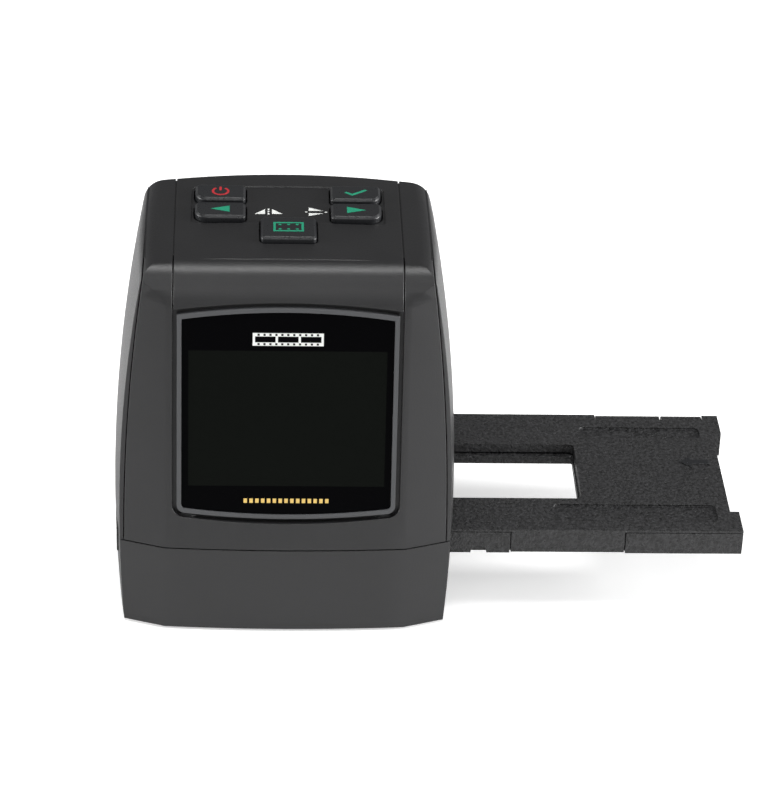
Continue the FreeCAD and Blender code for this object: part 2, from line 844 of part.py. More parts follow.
def make_rear_cover(outer, room):
    """Return the back of the casing with its socket openings and board posts."""
    shell = outer.cut(room).common(centre_zone(groove / 2))
    shell = shell.common(box(-overrun, overrun, groove, overrun, split_z, rear_seam_z - groove))
    inside = upper_block(wall / 2, split_z)
    posts = [rod(post_radius, -wall, main_board_depth, x, q) for x, q in board_posts()]
    stands = on_back(Part.Compound(posts)).common(inside)
    bosses = [boss_with_web(x, y, split_z, split_z + boss_grip) for x, y in boss_places()[2:]]
    cover = shell.fuse([stands] + [boss.common(inside) for boss in bosses])
    depth = main_board_depth + wall
    holes = [flat_box(usb_x, usb_width + 2 * socket_play, usb_height + 2 * socket_play, -wall, depth)]
    holes.append(rod(jack_nose_radius + socket_play, -wall, depth, jack_x, socket_row))
    holes.append(flat_box(card_x, card_width + 2 * socket_play, card_height + 2 * socket_play, -wall, depth))
    cover = cover.cut(on_back(Part.Compound(holes)))
    for x, y in boss_places()[2:]:
        cover = cover.cut(rod(screw_radius, split_z, split_z + boss_grip - wall, x, y))
    return cover.removeSplitter()


def flat_box(x, width, height, shallow, deep):
    """Return a block centred on the row of sockets, drawn flat, between two depths."""
    return Part.makeBox(width, height, deep - shallow, V(x - width / 2, socket_row - height / 2, shallow))


def make_screen_bezel():
    """Return the raised rim around the screen, with the step that the glass sits on."""
    ring = screen_slab(0, bezel_thick, 0)
    pocket = screen_slab(-bezel_rim, glass_sunk + glass_thick, 0)
    hole = screen_slab(-bezel_rim - glass_seat, bezel_thick, 0)
    return ring.cut(pocket).cut(hole).removeSplitter()


def make_screen_window():
    """Return the glossy window over the display."""
    return screen_slab(-bezel_rim - glass_gap, glass_sunk + glass_thick, glass_sunk)


def make_lcd():
    """Return the display module behind the window."""
    back = bezel_thick + lcd_thick
    low = lcd_mid - lcd_height / 2
    high = lcd_mid + lcd_height / 2
    half = lcd_width / 2
    case = box(-half, half, low, high, -back, -bezel_thick)
    frame = box(lcd_lip - half, half - lcd_lip, low + lcd_lip, high - lcd_lip,
                -bezel_thick - lcd_lip / 4, -bezel_thick)
    return on_front(case.cut(frame))


def make_lcd_ribbon():
    """Return the flat cable from the display to the main board."""
    depth = bezel_thick + lcd_thick
    q = lcd_mid - lcd_height * ribbon_low_share
    y0 = front_y - bezel_proud + q * math.sin(front_lean) + depth * math.cos(front_lean)
    z0 = split_z + q * math.cos(front_lean) - depth * math.sin(front_lean)
    back_depth = main_board_depth + board_thick
    y1 = rear_y - q * math.sin(rear_lean) - back_depth * math.cos(rear_lean)
    z1 = split_z + q * math.cos(rear_lean) - back_depth * math.sin(rear_lean)
    flap_front = ribbon_width * math.tan(front_lean)
    flap_back = ribbon_width * math.tan(rear_lean)
    top = [V(0, y0 + flap_front, z0 + ribbon_width), V(0, y0, z0), V(0, y1, z1)]
    top.append(V(0, y1 - flap_back, z1 + ribbon_width))
    thick = V(0, ribbon_thick, 0)
    inner = [top[0] + thick, top[1] + thick + UP * ribbon_thick, top[2] - thick + UP * ribbon_thick]
    inner.append(top[3] - thick)
    face = polygon(top + list(reversed(inner)))
    face.translate(V(ribbon_x - ribbon_width / 2, 0, 0))
    return face.extrude(RIGHT * ribbon_width)


def make_main_board():
    """Return the circuit board behind the back cover."""
    deep = main_board_depth + board_thick
    half = main_board_half
    return on_back(box(-half, half, main_board_low, main_board_high, main_board_depth, deep))


def make_usb_socket():
    """Return the data socket on the main board."""
    shell = flat_box(usb_x, usb_width, usb_height, socket_sunk, main_board_depth)
    room_deep = main_board_depth - board_thick
    room = flat_box(usb_x, usb_width - 2 * usb_wall, usb_height - 2 * usb_wall, socket_sunk, room_deep)
    tip = socket_sunk + usb_wall
    tongue = flat_box(usb_x, usb_width - 2 * usb_tongue, usb_tongue, tip, main_board_depth)
    return on_back(shell.cut(room).fuse(tongue).removeSplitter())


def make_av_jack():
    """Return the round picture output socket on the main board."""
    nose = rod(jack_nose_radius, socket_sunk, main_board_depth, jack_x, socket_row)
    body = flat_box(jack_x, jack_width, jack_height, wall + 2 * socket_sunk, main_board_depth)
    bore = rod(jack_bore, socket_sunk, main_board_depth - jack_bore_wall, jack_x, socket_row)
    return on_back(nose.fuse(body).cut(bore).removeSplitter())


def make_card_socket():
    """Return the memory card slot on the main board."""
    body = flat_box(card_x, card_width, card_height, socket_sunk, main_board_depth)
    slot_deep = main_board_depth - board_thick
    slot = flat_box(card_x, card_slot_width, card_slot_height, socket_sunk, slot_deep)
    return on_back(body.cut(slot))


def tapered_block(low_x, low_y, z0, high_x, high_y, z1):
    """Return a block about the optical axis that tapers evenly from its low to its high half sizes."""
    block = Part.makeWedge(-low_x, z0, -low_y, -high_y, -high_x, low_x, z1, low_y, high_y, high_x)
    block.rotate(V(0, 0, 0), RIGHT, 90)
    block.translate(V(0, axis_y, 0))
    return block


def make_optics_tower():
    """Return the tapered light tunnel that holds the lens over the film, on legs beside the holder."""
    foot_x = tower_foot_long / 2
    foot_y = tower_foot_short / 2
    neck = tower_neck / 2
    outer = tapered_block(foot_x, foot_y, tower_low, neck, neck, tower_high)
    roof = tower_high - tower_flange
    room = neck - tower_wall
    inner = tapered_block(foot_x - tower_wall, foot_y - tower_wall, tower_low, room, room, roof)
    rail_front = slot_front - guide_wall
    rail_rear = slot_rear + guide_wall
    flange = box(-foot_x, foot_x, rail_front, rail_rear, tower_low, tower_low + tower_flange)
    legs = []
    for sign in (-1, 1):
        x0 = sign * (foot_x - tower_leg / 2) - tower_leg / 2
        legs.append(box(x0, x0 + tower_leg, rail_front, slot_front, split_z, tower_low))
        legs.append(box(x0, x0 + tower_leg, slot_rear, rail_rear, split_z, tower_low))
    collar = rod(lens_radius + wall, roof, tower_high + tower_flange, 0, axis_y)
    tower = outer.fuse([flange, collar] + legs).cut(inner)
    tower = tower.cut(rod(lens_radius + lens_play, roof, casing_height, 0, axis_y))
    return tower.removeSplitter()


def make_lens_barrel():
    """Return the turned lens barrel, with its grip ring and bore."""
    low = tower_high - lens_sunk
    high = low + lens_length
    ring = tower_high + tower_flange
    points = [V(lens_bore, 0, low), V(lens_radius, 0, low), V(lens_radius, 0, ring)]
    points += [V(lens_ring_radius, 0, ring), V(lens_ring_radius, 0, ring + lens_ring)]
    points += [V(lens_radius, 0, ring + lens_ring)]
    points += [V(lens_radius, 0, high), V(lens_bore, 0, high)]
    barrel = polygon(points).revolve(V(0, 0, 0), UP, 360)
    barrel.translate(V(0, axis_y, 0))
    return barrel


def make_lens_glass():
    """Return the lens in the barrel, a thick disc with ground edges."""
    low = tower_high - lens_sunk + lens_ring
    disc = rod(lens_bore - pin_play, low, low + 2 * lens_ring, 0, axis_y)
    return disc.makeChamfer(lens_edge, [edge for edge in disc.Edges if edge.BoundBox.ZLength < pin_play])


def make_sensor_board():
    """Return the image sensor on its board, held over the lens by four spacers."""
    board_z = tower_high - lens_sunk + lens_length + sensor_chip_tall
    half = sensor_side / 2
    board = box(-half, half, axis_y - half, axis_y + half, board_z, board_z + board_thick)
    chip = sensor_chip / 2
    parts = [board, box(-chip, chip, axis_y - chip, axis_y + chip, board_z - sensor_chip_tall, board_z)]
    reach = spacer_share * sensor_side
    for sx in (-1, 1):
        for sy in (-1, 1):
            spacer = box(-spacer_half, spacer_half, -spacer_half, spacer_half, tower_high, board_z)
            spacer.translate(V(sx * reach, axis_y + sy * reach, 0))
            parts.append(spacer)
    return joined(parts)


def key_low_z(y, half_y, half_x, x):
    """Return the height of the flange's top under a key's well."""
    edges = [top_z(abs(x) + half_x, y - half_y), top_z(abs(x) + half_x, y + half_y)]
    return min(edges) - wall - key_seat_gap


def make_key(x, y, half_w, half_d, radii):
    """Return one soft key: its cap, the flange that keeps it in and the stem to its switch."""
    seat = key_low_z(y, half_d, half_w, x)
    top = top_z(x, y) + key_proud
    cap = rounded_block(half_w, half_d, radii, seat, top, x, y)
    rim = [edge for edge in cap.Edges if edge.BoundBox.ZMin > top - key_edge]
    cap = cap.makeChamfer(key_edge, rim)
    out_x = half_w + key_flange
    out_y = half_d + key_gap / 2
    flange = box(x - out_x, x + out_x, y - out_y, y + out_y, seat - key_flange_thick, seat)
    stem_low = switch_top() + key_travel + key_seat_gap / 2
    stem = box(x - stem_half, x + stem_half, y - stem_half, y + stem_half, stem_low, seat)
    return joined([cap, flange, stem])


def switch_top():
    """Return the height of the switches' buttons."""
    return casing_height - key_board_drop + switch_tall


def make_key_board():
    """Return the board under the keys."""
    high = casing_height - key_board_drop
    return box(-key_board_half, key_board_half, key_board_front, key_board_back, high - board_thick, high)


def make_key_switches():
    """Return the small switches on the key board."""
    low = casing_height - key_board_drop
    half = switch_side / 2
    switches = []
    for _, x, y, _, _, _ in keys():
        body = box(x - half, x + half, y - half, y + half, low, switch_top() - switch_button)
        button = rod(switch_button_radius, switch_top() - switch_button, switch_top(), x, y)
        switches.append(joined([body, button]))
    return Part.Compound(switches)


def holder_outline(low, high):
    """Return the holder's plan as a block: full length with set-back ends between the corner lugs."""
    block = box(holder_left, holder_right, holder_front, holder_rear, low, high)
    for side in (holder_left, holder_right):
        inner = side - end_set_back if side > 0 else side + end_set_back
        x0, x1 = min(side, inner), max(side, inner)
        block = block.cut(box(x0, x1, holder_front + lug_depth, holder_rear - lug_depth, low, high))
    return block


def hinge_groups():
    """Return the ends along X of each lid knuckle and the base knuckle beside it."""
    right = holder_right - hinge_end
    lid_right = right - base_knuckle
    groups = [((lid_right - lid_knuckle, lid_right), (lid_right, right))]
    left = holder_left + hinge_end
    lid_left = left + base_knuckle
    groups.append(((lid_left, lid_left + lid_knuckle), (left, lid_left)))
    return groups


def knuckle(x0, x1):
    """Return one hinge barrel along the rear edge."""
    return rod_x(knuckle_radius, x0, x1, hinge_y, hinge_z)


def pin_hole(x0, x1):
    """Return the hole for the hinge pin."""
    return rod_x(pin_radius + pin_play, x0, x1, hinge_y, hinge_z)


def hinge_room(x0, x1):
    """Return the clear space round a barrel."""
    r = knuckle_radius + knuckle_gap
    return rod_x(r, x0, x1, hinge_y, hinge_z).fuse(
        box(x0, x1, hinge_y, holder_rear + knuckle_radius, holder_low - wall, holder_top + wall))


def make_tray_base():
    """Return the lower half of the film holder, with film track, windows, rails and notches."""
    body = holder_outline(holder_low, lid_low)
    rim_top = holder_top - lid_cap - rim_gap
    rim = box(holder_left, holder_right, holder_front, holder_front + rim_wall, lid_low, rim_top)
    body = body.fuse(rim)
    y_mid = holder_depth / 2 - rail_width
    x0 = holder_left + rail_width
    x1 = holder_right - end_set_back - rail_width
    cuts = [box(x0, x1, axis_y - y_mid, axis_y + y_mid, holder_low, holder_low + belly)]
    track = film_width / 2
    film_end = frame_places[0] + frame_long / 2 + wall
    cuts.append(box(holder_left, film_end, axis_y - track, axis_y + track, lid_low - film_gap, lid_low))
    for x in frame_places:
        half_x = frame_long / 2
        half_y = frame_short / 2
        cuts.append(rounded_block(half_x, half_y, [groove] * 4, holder_low, holder_top, x, axis_y))
    for i in range(frame_count):
        place = V(holder_right - notch_from_end - frame_pitch * i, holder_front, holder_low)
        cuts.append(Part.makeCylinder(notch_radius, notch_depth, place, V(0, 1, 0)))
    tab0 = tab_left - tab_gap
    tab1 = tab_right + tab_gap
    catch_y = holder_front + catch_thick + tab_gap
    cuts.append(box(tab0, tab1, holder_front, catch_y, holder_low, holder_top))
    cuts.append(box(tab0, tab1, holder_front, holder_front + rim_wall, lid_low, holder_top))
    for lid_part, base_part in hinge_groups():
        low = min(lid_part[0], base_part[0])
        high = max(lid_part[1], base_part[1])
        cuts.append(hinge_room(low - knuckle_gap, high + knuckle_gap))
    body = body.cut(Part.Compound(cuts))
    for lid_part, base_part in hinge_groups():
        body = body.fuse(base_hinge(lid_part, base_part))
    for lid_part, base_part in hinge_groups():
        low = min(lid_part[0], base_part[0])
        high = max(lid_part[1], base_part[1])
        body = body.cut(pin_hole(low, high))
    return body.removeSplitter()


def base_hinge(lid_part, base_part):
    """Return the base's barrel and the neck that joins it to the base."""
    x0, x1 = base_part
    if lid_part[0] > base_part[0]:
        x1 -= knuckle_gap
    else:
        x0 += knuckle_gap
    neck = box(x0, x1, hinge_y - knuckle_radius - knuckle_gap, hinge_y, hinge_z - knuckle_radius, lid_low)
    return knuckle(x0, x1).fuse(neck)


def make_tray_lid():
    """Return the upper half of the film holder, with its windows, barrels and front catch."""
    inset = rim_wall + rim_gap
    cap_low = holder_top - lid_cap
    plate = holder_outline(lid_low, cap_low)
    plate = plate.cut(box(holder_left, holder_right, holder_front, holder_front + inset, lid_low, cap_low))
    cap = holder_outline(cap_low, holder_top)
    catch_y = holder_front + catch_thick
    catch = box(tab_left, tab_right, holder_front, catch_y, holder_low + tab_gap, holder_top)
    bridge = box(tab_left, tab_right, holder_front, holder_front + inset, lid_low, holder_top)
    lid = plate.fuse([cap, catch, bridge])
    cuts = []
    soft = [rim_wall] * 4
    for x in frame_places:
        half_x = lid_window_long / 2
        half_y = lid_window_short / 2
        cuts.append(rounded_block(half_x, half_y, soft, lid_low, holder_top, x, axis_y))
    handle = frame_places[0] + lid_window_long / 2
    x0 = handle - lid_window_long * grip_reach_share
    front_y0 = holder_front + plate_low
    x1 = holder_right - end_set_back - rim_wall
    high = holder_top - grip_recess
    half_x = (x1 - x0) / 2 - wall
    y = front_y0 + grip_deep / 2
    cuts.append(rounded_block(half_x, grip_deep / 2, soft, high, holder_top, (x0 + x1) / 2, y))
    half_x = (x1 - handle) / 2 - wall
    y = holder_rear - 2 * knuckle_radius - rim_wall - plate_deep / 2
    cuts.append(rounded_block(half_x, plate_deep / 2, soft, high, holder_top, (handle + x1) / 2, y))
    for lid_part, base_part in hinge_groups():
        low = min(lid_part[0], base_part[0])
        top = max(lid_part[1], base_part[1])
        cuts.append(hinge_room(low - knuckle_gap, top + knuckle_gap))
    lid = lid.cut(Part.Compound(cuts))
    for lid_part, base_part in hinge_groups():
        x0, x1 = lid_part
        if lid_part[0] > base_part[0]:
            x0 += knuckle_gap
        else:
            x1 -= knuckle_gap
        neck = box(x0, x1, hinge_y - knuckle_radius - knuckle_gap, hinge_y, lid_low + rim_gap, holder_top)
        lid = lid.fuse(knuckle(x0, x1).fuse(neck))
    for lid_part, base_part in hinge_groups():
        low = min(lid_part[0], base_part[0])
        top = max(lid_part[1], base_part[1])
        lid = lid.cut(pin_hole(low, top))
    return lid.removeSplitter()


def make_hinge_pins():
    """Return the two steel pins in the holder's barrels."""
    pins = []
    for lid_part, base_part in hinge_groups():
        low = min(lid_part[0], base_part[0])
        high = max(lid_part[1], base_part[1])
        pins.append(rod_x(pin_radius, low, high, hinge_y, hinge_z))
    return Part.Compound(pins)


def make_feet():
    """Return the rubber feet in their pockets."""
    feet = []
    for x, y in foot_places():
        foot = rod(foot_radius, 0, base_low + foot_seat, x, y)
        rim = [edge for edge in foot.Edges if edge.BoundBox.ZMax < groove]
        feet.append(foot.makeChamfer(foot_drop / 2, rim))
    return Part.Compound(feet)


def make_screws():
    """Return the four screws through the base into the upper casing."""
    screws = []
    seat = base_low + screw_head + screw_seat
    for x, y in boss_places():
        head = rod(screw_head_radius, seat - screw_head, seat, x, y)
        shank = rod(screw_radius, seat, split_z + boss_grip - 2 * wall, x, y)
        screws.append(joined([head, shank]))
    return Part.Compound(screws)


def build():
    """Return every piece of the scanner by its name."""
    outer = upper_block(0, split_z)
    room = upper_block(wall, split_z)
    deep = upper_block(wall + ledge, split_z)
    pieces = {"base_shell": make_base_shell(), "front_hood": make_front_hood(outer, room, deep)}
    pieces["left_side_panel"] = make_side_panel(outer, room, -1)
    pieces["right_side_panel"] = make_side_panel(outer, room, 1)
    pieces["rear_cover"] = make_rear_cover(outer, room)
    pieces["top_panel"] = make_top_panel(outer, room)
    pieces["screen_bezel"] = make_screen_bezel()
    pieces["screen_window"] = make_screen_window()
    pieces["lcd_module"] = make_lcd()
    pieces["lcd_ribbon"] = make_lcd_ribbon()
    pieces["main_board"] = make_main_board()
    pieces["usb_socket"] = make_usb_socket()
    pieces["av_jack"] = make_av_jack()
    pieces["card_socket"] = make_card_socket()
    pieces["tray_guide"] = make_tray_guide()
    pieces["diffuser_plate"] = make_diffuser()
    pieces["detent_spring"] = make_detent_spring()
    pieces["backlight_board"] = make_backlight_board()
    pieces["backlight_leds"] = make_backlight_leds()
    pieces["optics_tower"] = make_optics_tower()
    pieces["lens_barrel"] = make_lens_barrel()
    pieces["lens_glass"] = make_lens_glass()
    pieces["sensor_board"] = make_sensor_board()
    pieces["key_board"] = make_key_board()
    pieces["key_switches"] = make_key_switches()
    for name, x, y, half_w, half_d, radii in keys():
        pieces[name] = make_key(x, y, half_w, half_d, radii)
    pieces["tray_base"] = make_tray_base()
    pieces["tray_lid"] = make_tray_lid()
    pieces["tray_hinge_pins"] = make_hinge_pins()
    pieces["rubber_feet"] = make_feet()
    pieces["case_screws"] = make_screws()
    return pieces


if __name__ == "__main__":
    os.makedirs("parts", exist_ok=True)
    for name, shape in build().items():
        shape.exportStep(os.path.join("parts", name + ".step"))
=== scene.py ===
import logging
import math
from dataclasses import dataclass, field
from enum import Enum
from typing import Iterable, Optional, Sequence

import bmesh
import bpy
from mathutils import Matrix, Vector
from mathutils.bvhtree import BVHTree


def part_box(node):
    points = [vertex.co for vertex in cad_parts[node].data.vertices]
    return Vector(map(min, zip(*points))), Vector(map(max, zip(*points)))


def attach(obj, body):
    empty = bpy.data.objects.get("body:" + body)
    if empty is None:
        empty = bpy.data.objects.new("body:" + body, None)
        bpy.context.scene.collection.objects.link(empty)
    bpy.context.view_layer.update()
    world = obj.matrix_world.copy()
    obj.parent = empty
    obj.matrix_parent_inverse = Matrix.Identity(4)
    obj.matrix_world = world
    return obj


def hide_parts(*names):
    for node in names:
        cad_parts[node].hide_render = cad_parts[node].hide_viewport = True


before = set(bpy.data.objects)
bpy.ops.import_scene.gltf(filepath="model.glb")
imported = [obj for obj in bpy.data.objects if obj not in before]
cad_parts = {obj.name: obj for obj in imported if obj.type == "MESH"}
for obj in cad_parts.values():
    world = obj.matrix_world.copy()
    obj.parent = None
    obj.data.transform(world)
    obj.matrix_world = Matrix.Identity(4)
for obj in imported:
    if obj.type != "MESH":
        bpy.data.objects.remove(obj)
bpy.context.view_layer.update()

# The looks of a stand-alone film scanner for 35 mm strips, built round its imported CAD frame.
# Metres throughout; +Z is up and the screen faces -Y.
LOG = logging.getLogger("film_scanner")
MM = 0.001
HOUSING = "housing"
HOLDER = "film_holder"
OUTSIDE = 1.0  # metres from the middle, well clear of the part, where rays start
Edges = Sequence[tuple[float, float]]


def linear(colour: str) -> tuple[float, float, float, float]:
    """Turn an sRGB hex colour into linear light.

    Args:
        colour: Six hex digits after a hash sign.

    Returns:
        Red, green, blue and an alpha of one.
    """
    channels = [int(colour[i:i + 2], 16) / 255 for i in (1, 3, 5)]
    low_end, low_slope, offset, power = 0.04045, 12.92, 0.055, 2.4
    light = [c / low_slope if c <= low_end else ((c + offset) / (1 + offset)) ** power for c in channels]
    return (light[0], light[1], light[2], 1.0)


def add_node(tree: bpy.types.NodeTree, kind: str, settings: Optional[dict] = None,
             links: Optional[dict] = None) -> bpy.types.Node:
    """Add one node with its settings and its incoming links.

    Args:
        tree: The tree that gets the node.
        kind: The node's type name.
        settings: Values by property name, or by input name or number.
        links: Output sockets by the input name or number that they feed.

    Returns:
        The new node.
    """
    node = tree.nodes.new(kind)
    for key, value in (settings or {}).items():
        if isinstance(key, str) and hasattr(node, key):
            setattr(node, key, value)
        else:
            node.inputs[key].default_value = value
    for key, socket in (links or {}).items():
        tree.links.new(socket, node.inputs[key])
    return node


class Grain(Enum):
    """How a moulded surface was textured in its tool."""

    SMOOTH = "polished tool"
    FINE = "fine spark-eroded tool"
    COARSE = "deep etched tool"


@dataclass(frozen=True)
class Finish:
    """One finish: its colour, its shine and the grain that its making left.

    Sizes are real millimetres; a grain too fine for one picture point is drawn as coarse as it needs to show.
    The colour drifts by a share of itself (mottle) over some distance, and the shine by a step (sparkle) with
    the grain. Edges look worn round to a radius of edge_mm.
    """

    name: str
    colour: str
    roughness: float = 0.5
    metallic: float = 0.0
    specular: float = 0.5
    ior: float = 1.5
    grain: Grain = Grain.SMOOTH
    grain_mm: float = 0.4
    grain_depth_mm: float = 0.0
    mottle: float = 0.0
    mottle_mm: float = 14.0
    mottle_spread: float = 0.2
    transmission: float = 0.0
    sparkle: float = 0.0
    edge_mm: float = 0.0

    def make(self) -> bpy.types.Material:
        """Build the material once and hand the same one back after that.

        Returns:
            The material.
        """
        known = bpy.data.materials.get(self.name)
        if known:
            return known
        material = bpy.data.materials.new(self.name)
        material.use_nodes = True
        tree = material.node_tree
        shader = tree.nodes["Principled BSDF"]
        shader.inputs["Metallic"].default_value = self.metallic
        shader.inputs["Specular IOR Level"].default_value = self.specular
        shader.inputs["Transmission Weight"].default_value = self.transmission
        if self.metallic == 0:
            shader.inputs["IOR"].default_value = self.ior
        place = add_node(tree, "ShaderNodeTexCoord").outputs["Object"]
        self.paint(tree, shader, place)
        self.roughen(tree, shader, place)
        return material

    def paint(self, tree: bpy.types.NodeTree, shader: bpy.types.Node, place: bpy.types.NodeSocket) -> None:
        """Colour the shader, with the drift in tone that mixing and handling leave.

        Args:
            tree: The material's tree.
            shader: Its surface shader.
            place: The object's own coordinates.
        """
        cloud = add_node(tree, "ShaderNodeTexNoise", {"Scale": 1 / (self.mottle_mm * MM), "Detail": 3.0},
                         {"Vector": place})
        ramp = add_node(tree, "ShaderNodeValToRGB", links={"Fac": cloud.outputs["Fac"]})
        middle = 0.5
        for stop, side in enumerate((-1, 1)):
            tone = tuple(min(c * (1 + side * self.mottle), 1) for c in linear(self.colour)[:3])
            ramp.color_ramp.elements[stop].color = tone + (1.0,)
            ramp.color_ramp.elements[stop].position = middle + side * self.mottle_spread
        tree.links.new(ramp.outputs["Color"], shader.inputs["Base Color"])

    def roughen(self, tree: bpy.types.NodeTree, shader: bpy.types.Node, place: bpy.types.NodeSocket) -> None:
        """Give the shader its grain: bumps from the tool and the uneven shine that goes with them.

        Args:
            tree: The material's tree.
            shader: Its surface shader.
            place: The object's own coordinates.
        """
        detail = {Grain.SMOOTH: 1.0, Grain.FINE: 3.0, Grain.COARSE: 4.0}[self.grain]
        noise = add_node(tree, "ShaderNodeTexNoise", {"Scale": 1 / (self.grain_mm * MM), "Detail": detail},
                         {"Vector": place})
        least, uneven = 0.02, 0.06
        spread = uneven + self.sparkle
        low, high = max(self.roughness - spread, least), min(self.roughness + spread, 1)
        shine = add_node(tree, "ShaderNodeMapRange",
                         {"From Min": 0.3, "From Max": 0.7, "To Min": low, "To Max": high},
                         {"Value": noise.outputs["Fac"]})
        tree.links.new(shine.outputs["Result"], shader.inputs["Roughness"])
        bump = add_node(tree, "ShaderNodeBump", {"Distance": self.grain_depth_mm * MM, "Strength": 1.0},
                        {"Height": noise.outputs["Fac"]})
        if self.edge_mm > 0:
            worn = add_node(tree, "ShaderNodeBevel", {"samples": 6, "Radius": self.edge_mm * MM})
            tree.links.new(worn.outputs["Normal"], bump.inputs["Normal"])
        tree.links.new(bump.outputs["Normal"], shader.inputs["Normal"])


# Spark-eroded black ABS: charcoal under soft light, with a dull even sheen. Its grain is drawn at about
# four times its real 0.1 mm, so that it just shows.
CASING = Finish("moulded_charcoal_abs", "#1f1f20", 0.4, grain=Grain.FINE, grain_mm=0.45,
                grain_depth_mm=0.02, mottle=0.05, edge_mm=0.35)
# The keys are the same plastic from a smoother tool: a shade darker, with a light line along worn edges.
KEYCAP = Finish("moulded_black_key_abs", "#1d1e20", 0.32, grain=Grain.FINE, grain_mm=0.5,
                grain_depth_mm=0.012, mottle=0.04, edge_mm=0.4)
# Painted grey rim round the screen: flat and cooler than the casing.
RIM = Finish("painted_grey_rim", "#454648", 0.46, grain=Grain.FINE, grain_mm=0.4,
             grain_depth_mm=0.006, mottle=0.03, edge_mm=0.2)
# Black-backed acrylic with a hard coat that takes most of the reflections away.
WINDOW = Finish("coated_black_acrylic", "#030304", 0.1, specular=0.02, mottle=0.02, mottle_mm=30)
# The display's own surface under the window: a shade greener and lighter than the printed border.
DISPLAY = Finish("unlit_display_film", "#0d0f0d", 0.2, specular=0.02, mottle=0.03, mottle_mm=25)
# Film holder: black ABS from a deeply etched tool, mottled and glinting in points. Its grain is drawn at
# about twice its real 0.4 mm, so that it shows.
HOLDER_SKIN = Finish("etched_black_holder_abs", "#212122", 0.44, grain=Grain.COARSE, grain_mm=0.8,
                     grain_depth_mm=0.45, mottle=0.55, mottle_mm=0.9, mottle_spread=0.09, sparkle=0.24,
                     edge_mm=0.2)
# Smooth black plastic of the inner parts: plain and matt, so that the openings look dark.
INNER = Finish("moulded_black_inner_abs", "#1a1b1c", 0.5, mottle=0.04)
# Opal acrylic: milky white, with nothing to be seen through it.
OPAL = Finish("opal_acrylic_diffuser", "#e9ebe8", 0.35, mottle=0.01, transmission=0.3)
# Glass epoxy under solder resist: deep green with a soft gloss.
BOARD = Finish("glass_epoxy_board", "#1f5a33", 0.38, mottle=0.12, mottle_mm=5)
# Nickel-plated steel: the palest and brightest thing on the back.
SOCKET_SHELL = Finish("nickel_plated_steel", "#b9bab8", 0.26, metallic=1.0, mottle=0.04)
# Moulded nylon: dull black beside the nickel.
SOCKET_BODY = Finish("moulded_black_nylon", "#161617", 0.5, mottle=0.04)
# Rolled spring steel: grey with a narrow clean shine.
SPRING = Finish("rolled_spring_steel", "#9c9d9b", 0.3, metallic=1.0, mottle=0.05, mottle_mm=3)
# Ceramic light chips: cream white.
LED = Finish("white_led_package", "#f2f0df", 0.3, mottle=0.02, mottle_mm=2)
# Black-anodised aluminium: nearly black, with a metal's sheen.
LENS_TUBE = Finish("black_anodised_aluminium", "#1b1b1d", 0.36, metallic=0.6, mottle=0.04, mottle_mm=3)
# Coated glass: clear with a cold tint.
LENS = Finish("coated_optical_glass", "#e4ecf2", 0.03, transmission=1.0)
# Polyimide flat cable: amber.
RIBBON = Finish("polyimide_flat_cable", "#9a5a1e", 0.35, mottle=0.06, mottle_mm=4)
# Moulded rubber: the dullest black of all.
FOOT = Finish("moulded_black_rubber", "#171717", 0.72, grain=Grain.FINE, grain_mm=0.5,
              grain_depth_mm=0.02, mottle=0.08)
# Black-oxide steel: dark, with a faint metallic shine.
SCREW = Finish("black_oxide_screw_steel", "#3a3a3c", 0.32, metallic=1.0, mottle=0.08, mottle_mm=1.5)
# Printed inks: flat opaque colour, a little uneven where it went on thin.
GREEN_INK = Finish("green_pad_print", "#1b8767", 0.4, mottle=0.05, mottle_mm=1.5)
RED_INK = Finish("red_pad_print", "#a8242c", 0.4, mottle=0.05, mottle_mm=1.5)
WHITE_INK = Finish("white_pad_print", "#dfe1de", 0.4, mottle=0.03, mottle_mm=1.5)
GOLD_INK = Finish("gold_screen_print", "#d9b866", 0.4, mottle=0.05, mottle_mm=1.5)


def put_in_scene(name: str, mesh: bpy.types.Mesh) -> bpy.types.Object:
    """Make an object at the origin for a mesh whose place is in its points.

    Args:
        name: The object's name.
        mesh: Its mesh.

    Returns:
        The object, linked to the scene.
    """
    piece = bpy.data.objects.new(name, mesh)
    bpy.context.scene.collection.objects.link(piece)
    return piece


def dress(piece: bpy.types.Object, finish: Finish, body: str, nodes: Iterable[str] = ()) -> None:
    """Give a piece its finish, hang it on the body that it moves with and hide the CAD nodes that it stands
    for.

    Args:
        piece: The finished piece.
        finish: Its finish.
        body: The CAD body that it moves with.
        nodes: The CAD nodes that it stands for.
    """
    piece.data.materials.clear()
    piece.data.materials.append(finish.make())
    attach(piece, body)
    if nodes:
        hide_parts(*nodes)
    LOG.info("%s: %d faces, %s", piece.name, len(piece.data.polygons), finish.name)


def mesh_from(name: str, points: Sequence[Vector], faces: Sequence[Sequence[int]]) -> bpy.types.Mesh:
    """Make a mesh from points and faces.

    Args:
        name: The mesh's name.
        points: Its points.
        faces: Its faces, each a run of point numbers.

    Returns:
        The mesh.
    """
    mesh = bpy.data.meshes.new(name)
    mesh.from_pydata([tuple(p) for p in points], [], [tuple(f) for f in faces])
    mesh.validate()
    return mesh


def baked(piece: bpy.types.Object) -> bpy.types.Object:
    """Turn a piece's modifiers into plain mesh.

    Args:
        piece: The piece.

    Returns:
        The same piece, with no modifiers left.
    """
    graph = bpy.context.evaluated_depsgraph_get()
    mesh = bpy.data.meshes.new_from_object(piece.evaluated_get(graph))
    piece.modifiers.clear()
    piece.data = mesh
    return piece


